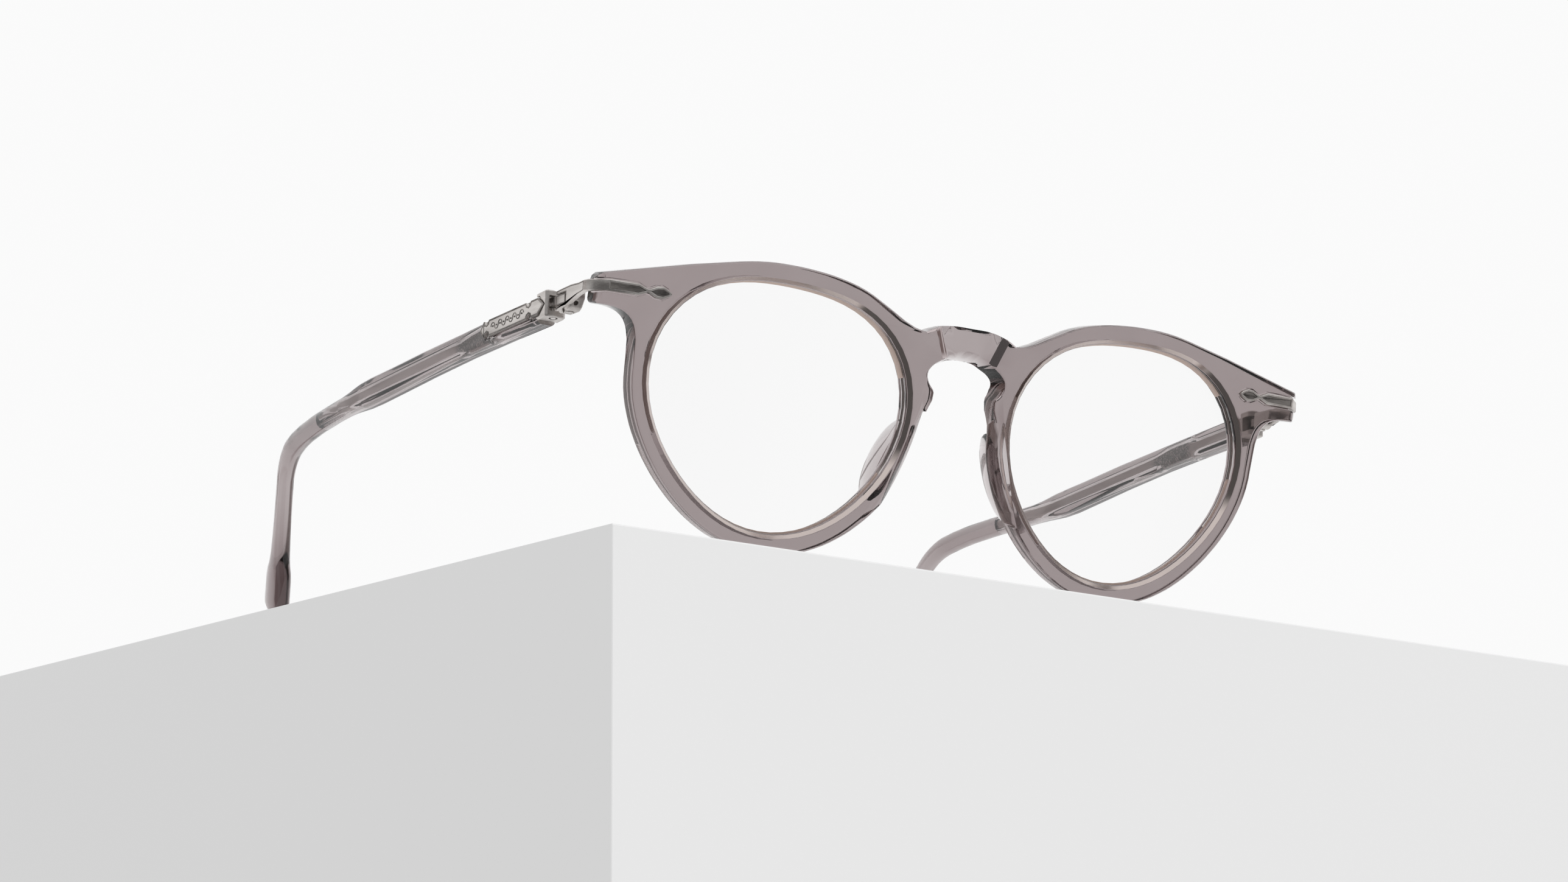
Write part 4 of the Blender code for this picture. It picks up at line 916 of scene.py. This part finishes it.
def room_colours(tree, direction, yaw, stage):
    """The room with its dark screens, for mirrored rays and for rays that have passed through acetate."""
    apart = add_node(tree, "ShaderNodeSeparateXYZ", {"Vector": direction})
    rise = apart.outputs["Z"]
    level = add_node(
        tree, "ShaderNodeCombineXYZ", {"X": apart.outputs["X"], "Y": apart.outputs["Y"]}).outputs["Vector"]
    compass = add_node(tree, "ShaderNodeVectorMath", {0: level}, operation="NORMALIZE").outputs["Vector"]
    ahead = (math.sin(yaw), math.cos(yaw), 0.0)
    facing = add_node(
        tree, "ShaderNodeVectorMath", {0: compass, 1: ahead}, operation="DOT_PRODUCT").outputs["Value"]
    dim, room, shade = (stage.dim,) * 3, (stage.room,) * 3, stage.shade
    # From straight back past the photo's camera, at 0, to straight ahead, at 1
    mirrored = colour_ramp(tree, remap(tree, facing, -1.0, 1.0), (
        (0.0, dim), (0.10, dim), (0.24, room), (0.36, room), (0.44, shade), (0.56, shade), (0.66, WHITE),
        (1.0, WHITE)))
    # From square to the photo's view, at 0, to along it either way, at 1
    passed = colour_ramp(tree, calculate(tree, "ABSOLUTE", facing), (
        (0.0, WHITE), (0.50, WHITE), (0.58, shade), (0.78, shade), (0.86, WHITE), (1.0, WHITE)))
    # The screens fade out above, and for passed rays below as well
    low, high = 0.35, 0.5
    mirrored = mix_colours(tree, remap(tree, rise, low, high), mirrored, WHITE)
    steep = calculate(tree, "ABSOLUTE", rise)
    passed = mix_colours(tree, remap(tree, steep, low, high), passed, WHITE)
    return rise, mirrored, passed


def build_world(stage, yaw):
    """White to the camera, dark screens in metal and acetate, soft light from above for the rest."""
    world = bpy.data.worlds.new("Studio")
    bpy.context.scene.world = world
    world.use_nodes = True
    tree = world.node_tree
    tree.nodes.clear()
    direction = tree.nodes.new("ShaderNodeTexCoord").outputs["Generated"]
    rise, mirrored, passed = room_colours(tree, direction, yaw, stage)
    ray = tree.nodes.new("ShaderNodeLightPath").outputs
    soft_from_below = (0.86, 0.86, 0.86)
    soft = mix_colours(tree, remap(tree, rise, -0.8, 0.8), soft_from_below, WHITE)
    screens = mix_colours(tree, ray["Is Transmission Ray"], mirrored, passed)
    sharp_ray = calculate(tree, "MAXIMUM", ray["Is Glossy Ray"], ray["Is Transmission Ray"])
    unseen = mix_shaders(
        tree, sharp_ray, background(tree, soft, stage.ambient), background(tree, screens, stage.backdrop))
    seen = background(tree, WHITE, stage.backdrop)
    surface = mix_shaders(tree, ray["Is Camera Ray"], unseen, seen)
    add_node(tree, "ShaderNodeOutputWorld", {"Surface": surface})


def build_key(strength):
    """A broad lamp from the front right that glass and metal don't show."""
    data = bpy.data.lights.new("Key", "SUN")
    data.energy = strength
    data.angle = math.radians(KEY_ANGLE)
    lamp = bpy.data.objects.new("Key", data)
    lamp.rotation_euler = Vector(KEY_DIRECTION).to_track_quat("-Z", "Y").to_euler()
    lamp.visible_transmission = False
    lamp.visible_glossy = False
    bpy.context.scene.collection.objects.link(lamp)


def build_camera(view):
    """The photo's camera."""
    place, ahead, right, up = camera_frame(view)
    data = bpy.data.cameras.new("Camera")
    data.sensor_width = SENSOR
    data.lens = SENSOR * view.focal / PHOTO_SIZE[0]
    data.clip_start = CLIP_START
    camera = bpy.data.objects.new("Camera", data)
    turn = Matrix((right, up, -ahead)).transposed().to_4x4()
    camera.matrix_world = Matrix.Translation(place) @ turn
    bpy.context.scene.collection.objects.link(camera)
    bpy.context.scene.camera = camera


class GLASSES_OT_stage(bpy.types.Operator):
    """Build the plinth, the backdrop's light, the key lamp and the camera"""
    bl_idname = "glasses.stage"
    bl_label = "Stage"

    def execute(self, context):
        stage = context.scene.glasses_stage
        view = context.scene.glasses_camera
        build_plinth(view, stage.plinth)
        build_world(stage, view.yaw)
        build_key(stage.key)
        build_camera(view)
        context.scene.view_settings.view_transform = "Standard"
        return {"FINISHED"}


class GLASSES_PT_panel(bpy.types.Panel):
    """Steps and settings of the eyeglasses"""
    bl_label = "Round Eyeglasses"
    bl_idname = "GLASSES_PT_panel"
    bl_space_type = "VIEW_3D"
    bl_region_type = "UI"
    bl_category = "Glasses"

    def draw(self, context):
        for operator in OPERATORS:
            self.layout.operator(operator.bl_idname)
        for name, group in SETTINGS:
            box = self.layout.box()
            box.label(text=group.__name__)
            for field in group.__annotations__:
                box.prop(getattr(context.scene, name), field)


SETTINGS = (
    ("glasses_acetate", AcetateSettings), ("glasses_pads", PadSettings), ("glasses_lens", LensSettings),
    ("glasses_keyhole", KeyholeSettings), ("glasses_metal", MetalSettings),
    ("glasses_ornament", OrnamentSettings), ("glasses_stage", StageSettings),
    ("glasses_camera", CameraSettings))
OPERATORS = (
    GLASSES_OT_front, GLASSES_OT_pads, GLASSES_OT_lenses, GLASSES_OT_end_pieces, GLASSES_OT_heads,
    GLASSES_OT_temples, GLASSES_OT_plaques, GLASSES_OT_stage)
CLASSES = tuple(group for name, group in SETTINGS) + OPERATORS + (GLASSES_PT_panel,)


def register():
    for item in CLASSES:
        bpy.utils.register_class(item)
    for name, group in SETTINGS:
        setattr(bpy.types.Scene, name, PointerProperty(type=group))


def unregister():
    for name, group in SETTINGS:
        delattr(bpy.types.Scene, name)
    for item in reversed(CLASSES):
        bpy.utils.unregister_class(item)


def main():
    register()
    bpy.ops.glasses.front()
    bpy.ops.glasses.pads()
    bpy.ops.glasses.lenses()
    bpy.ops.glasses.end_pieces()
    bpy.ops.glasses.heads()
    bpy.ops.glasses.temples()
    bpy.ops.glasses.plaques()
    bpy.ops.glasses.stage()


if __name__ == "__main__":
    main()
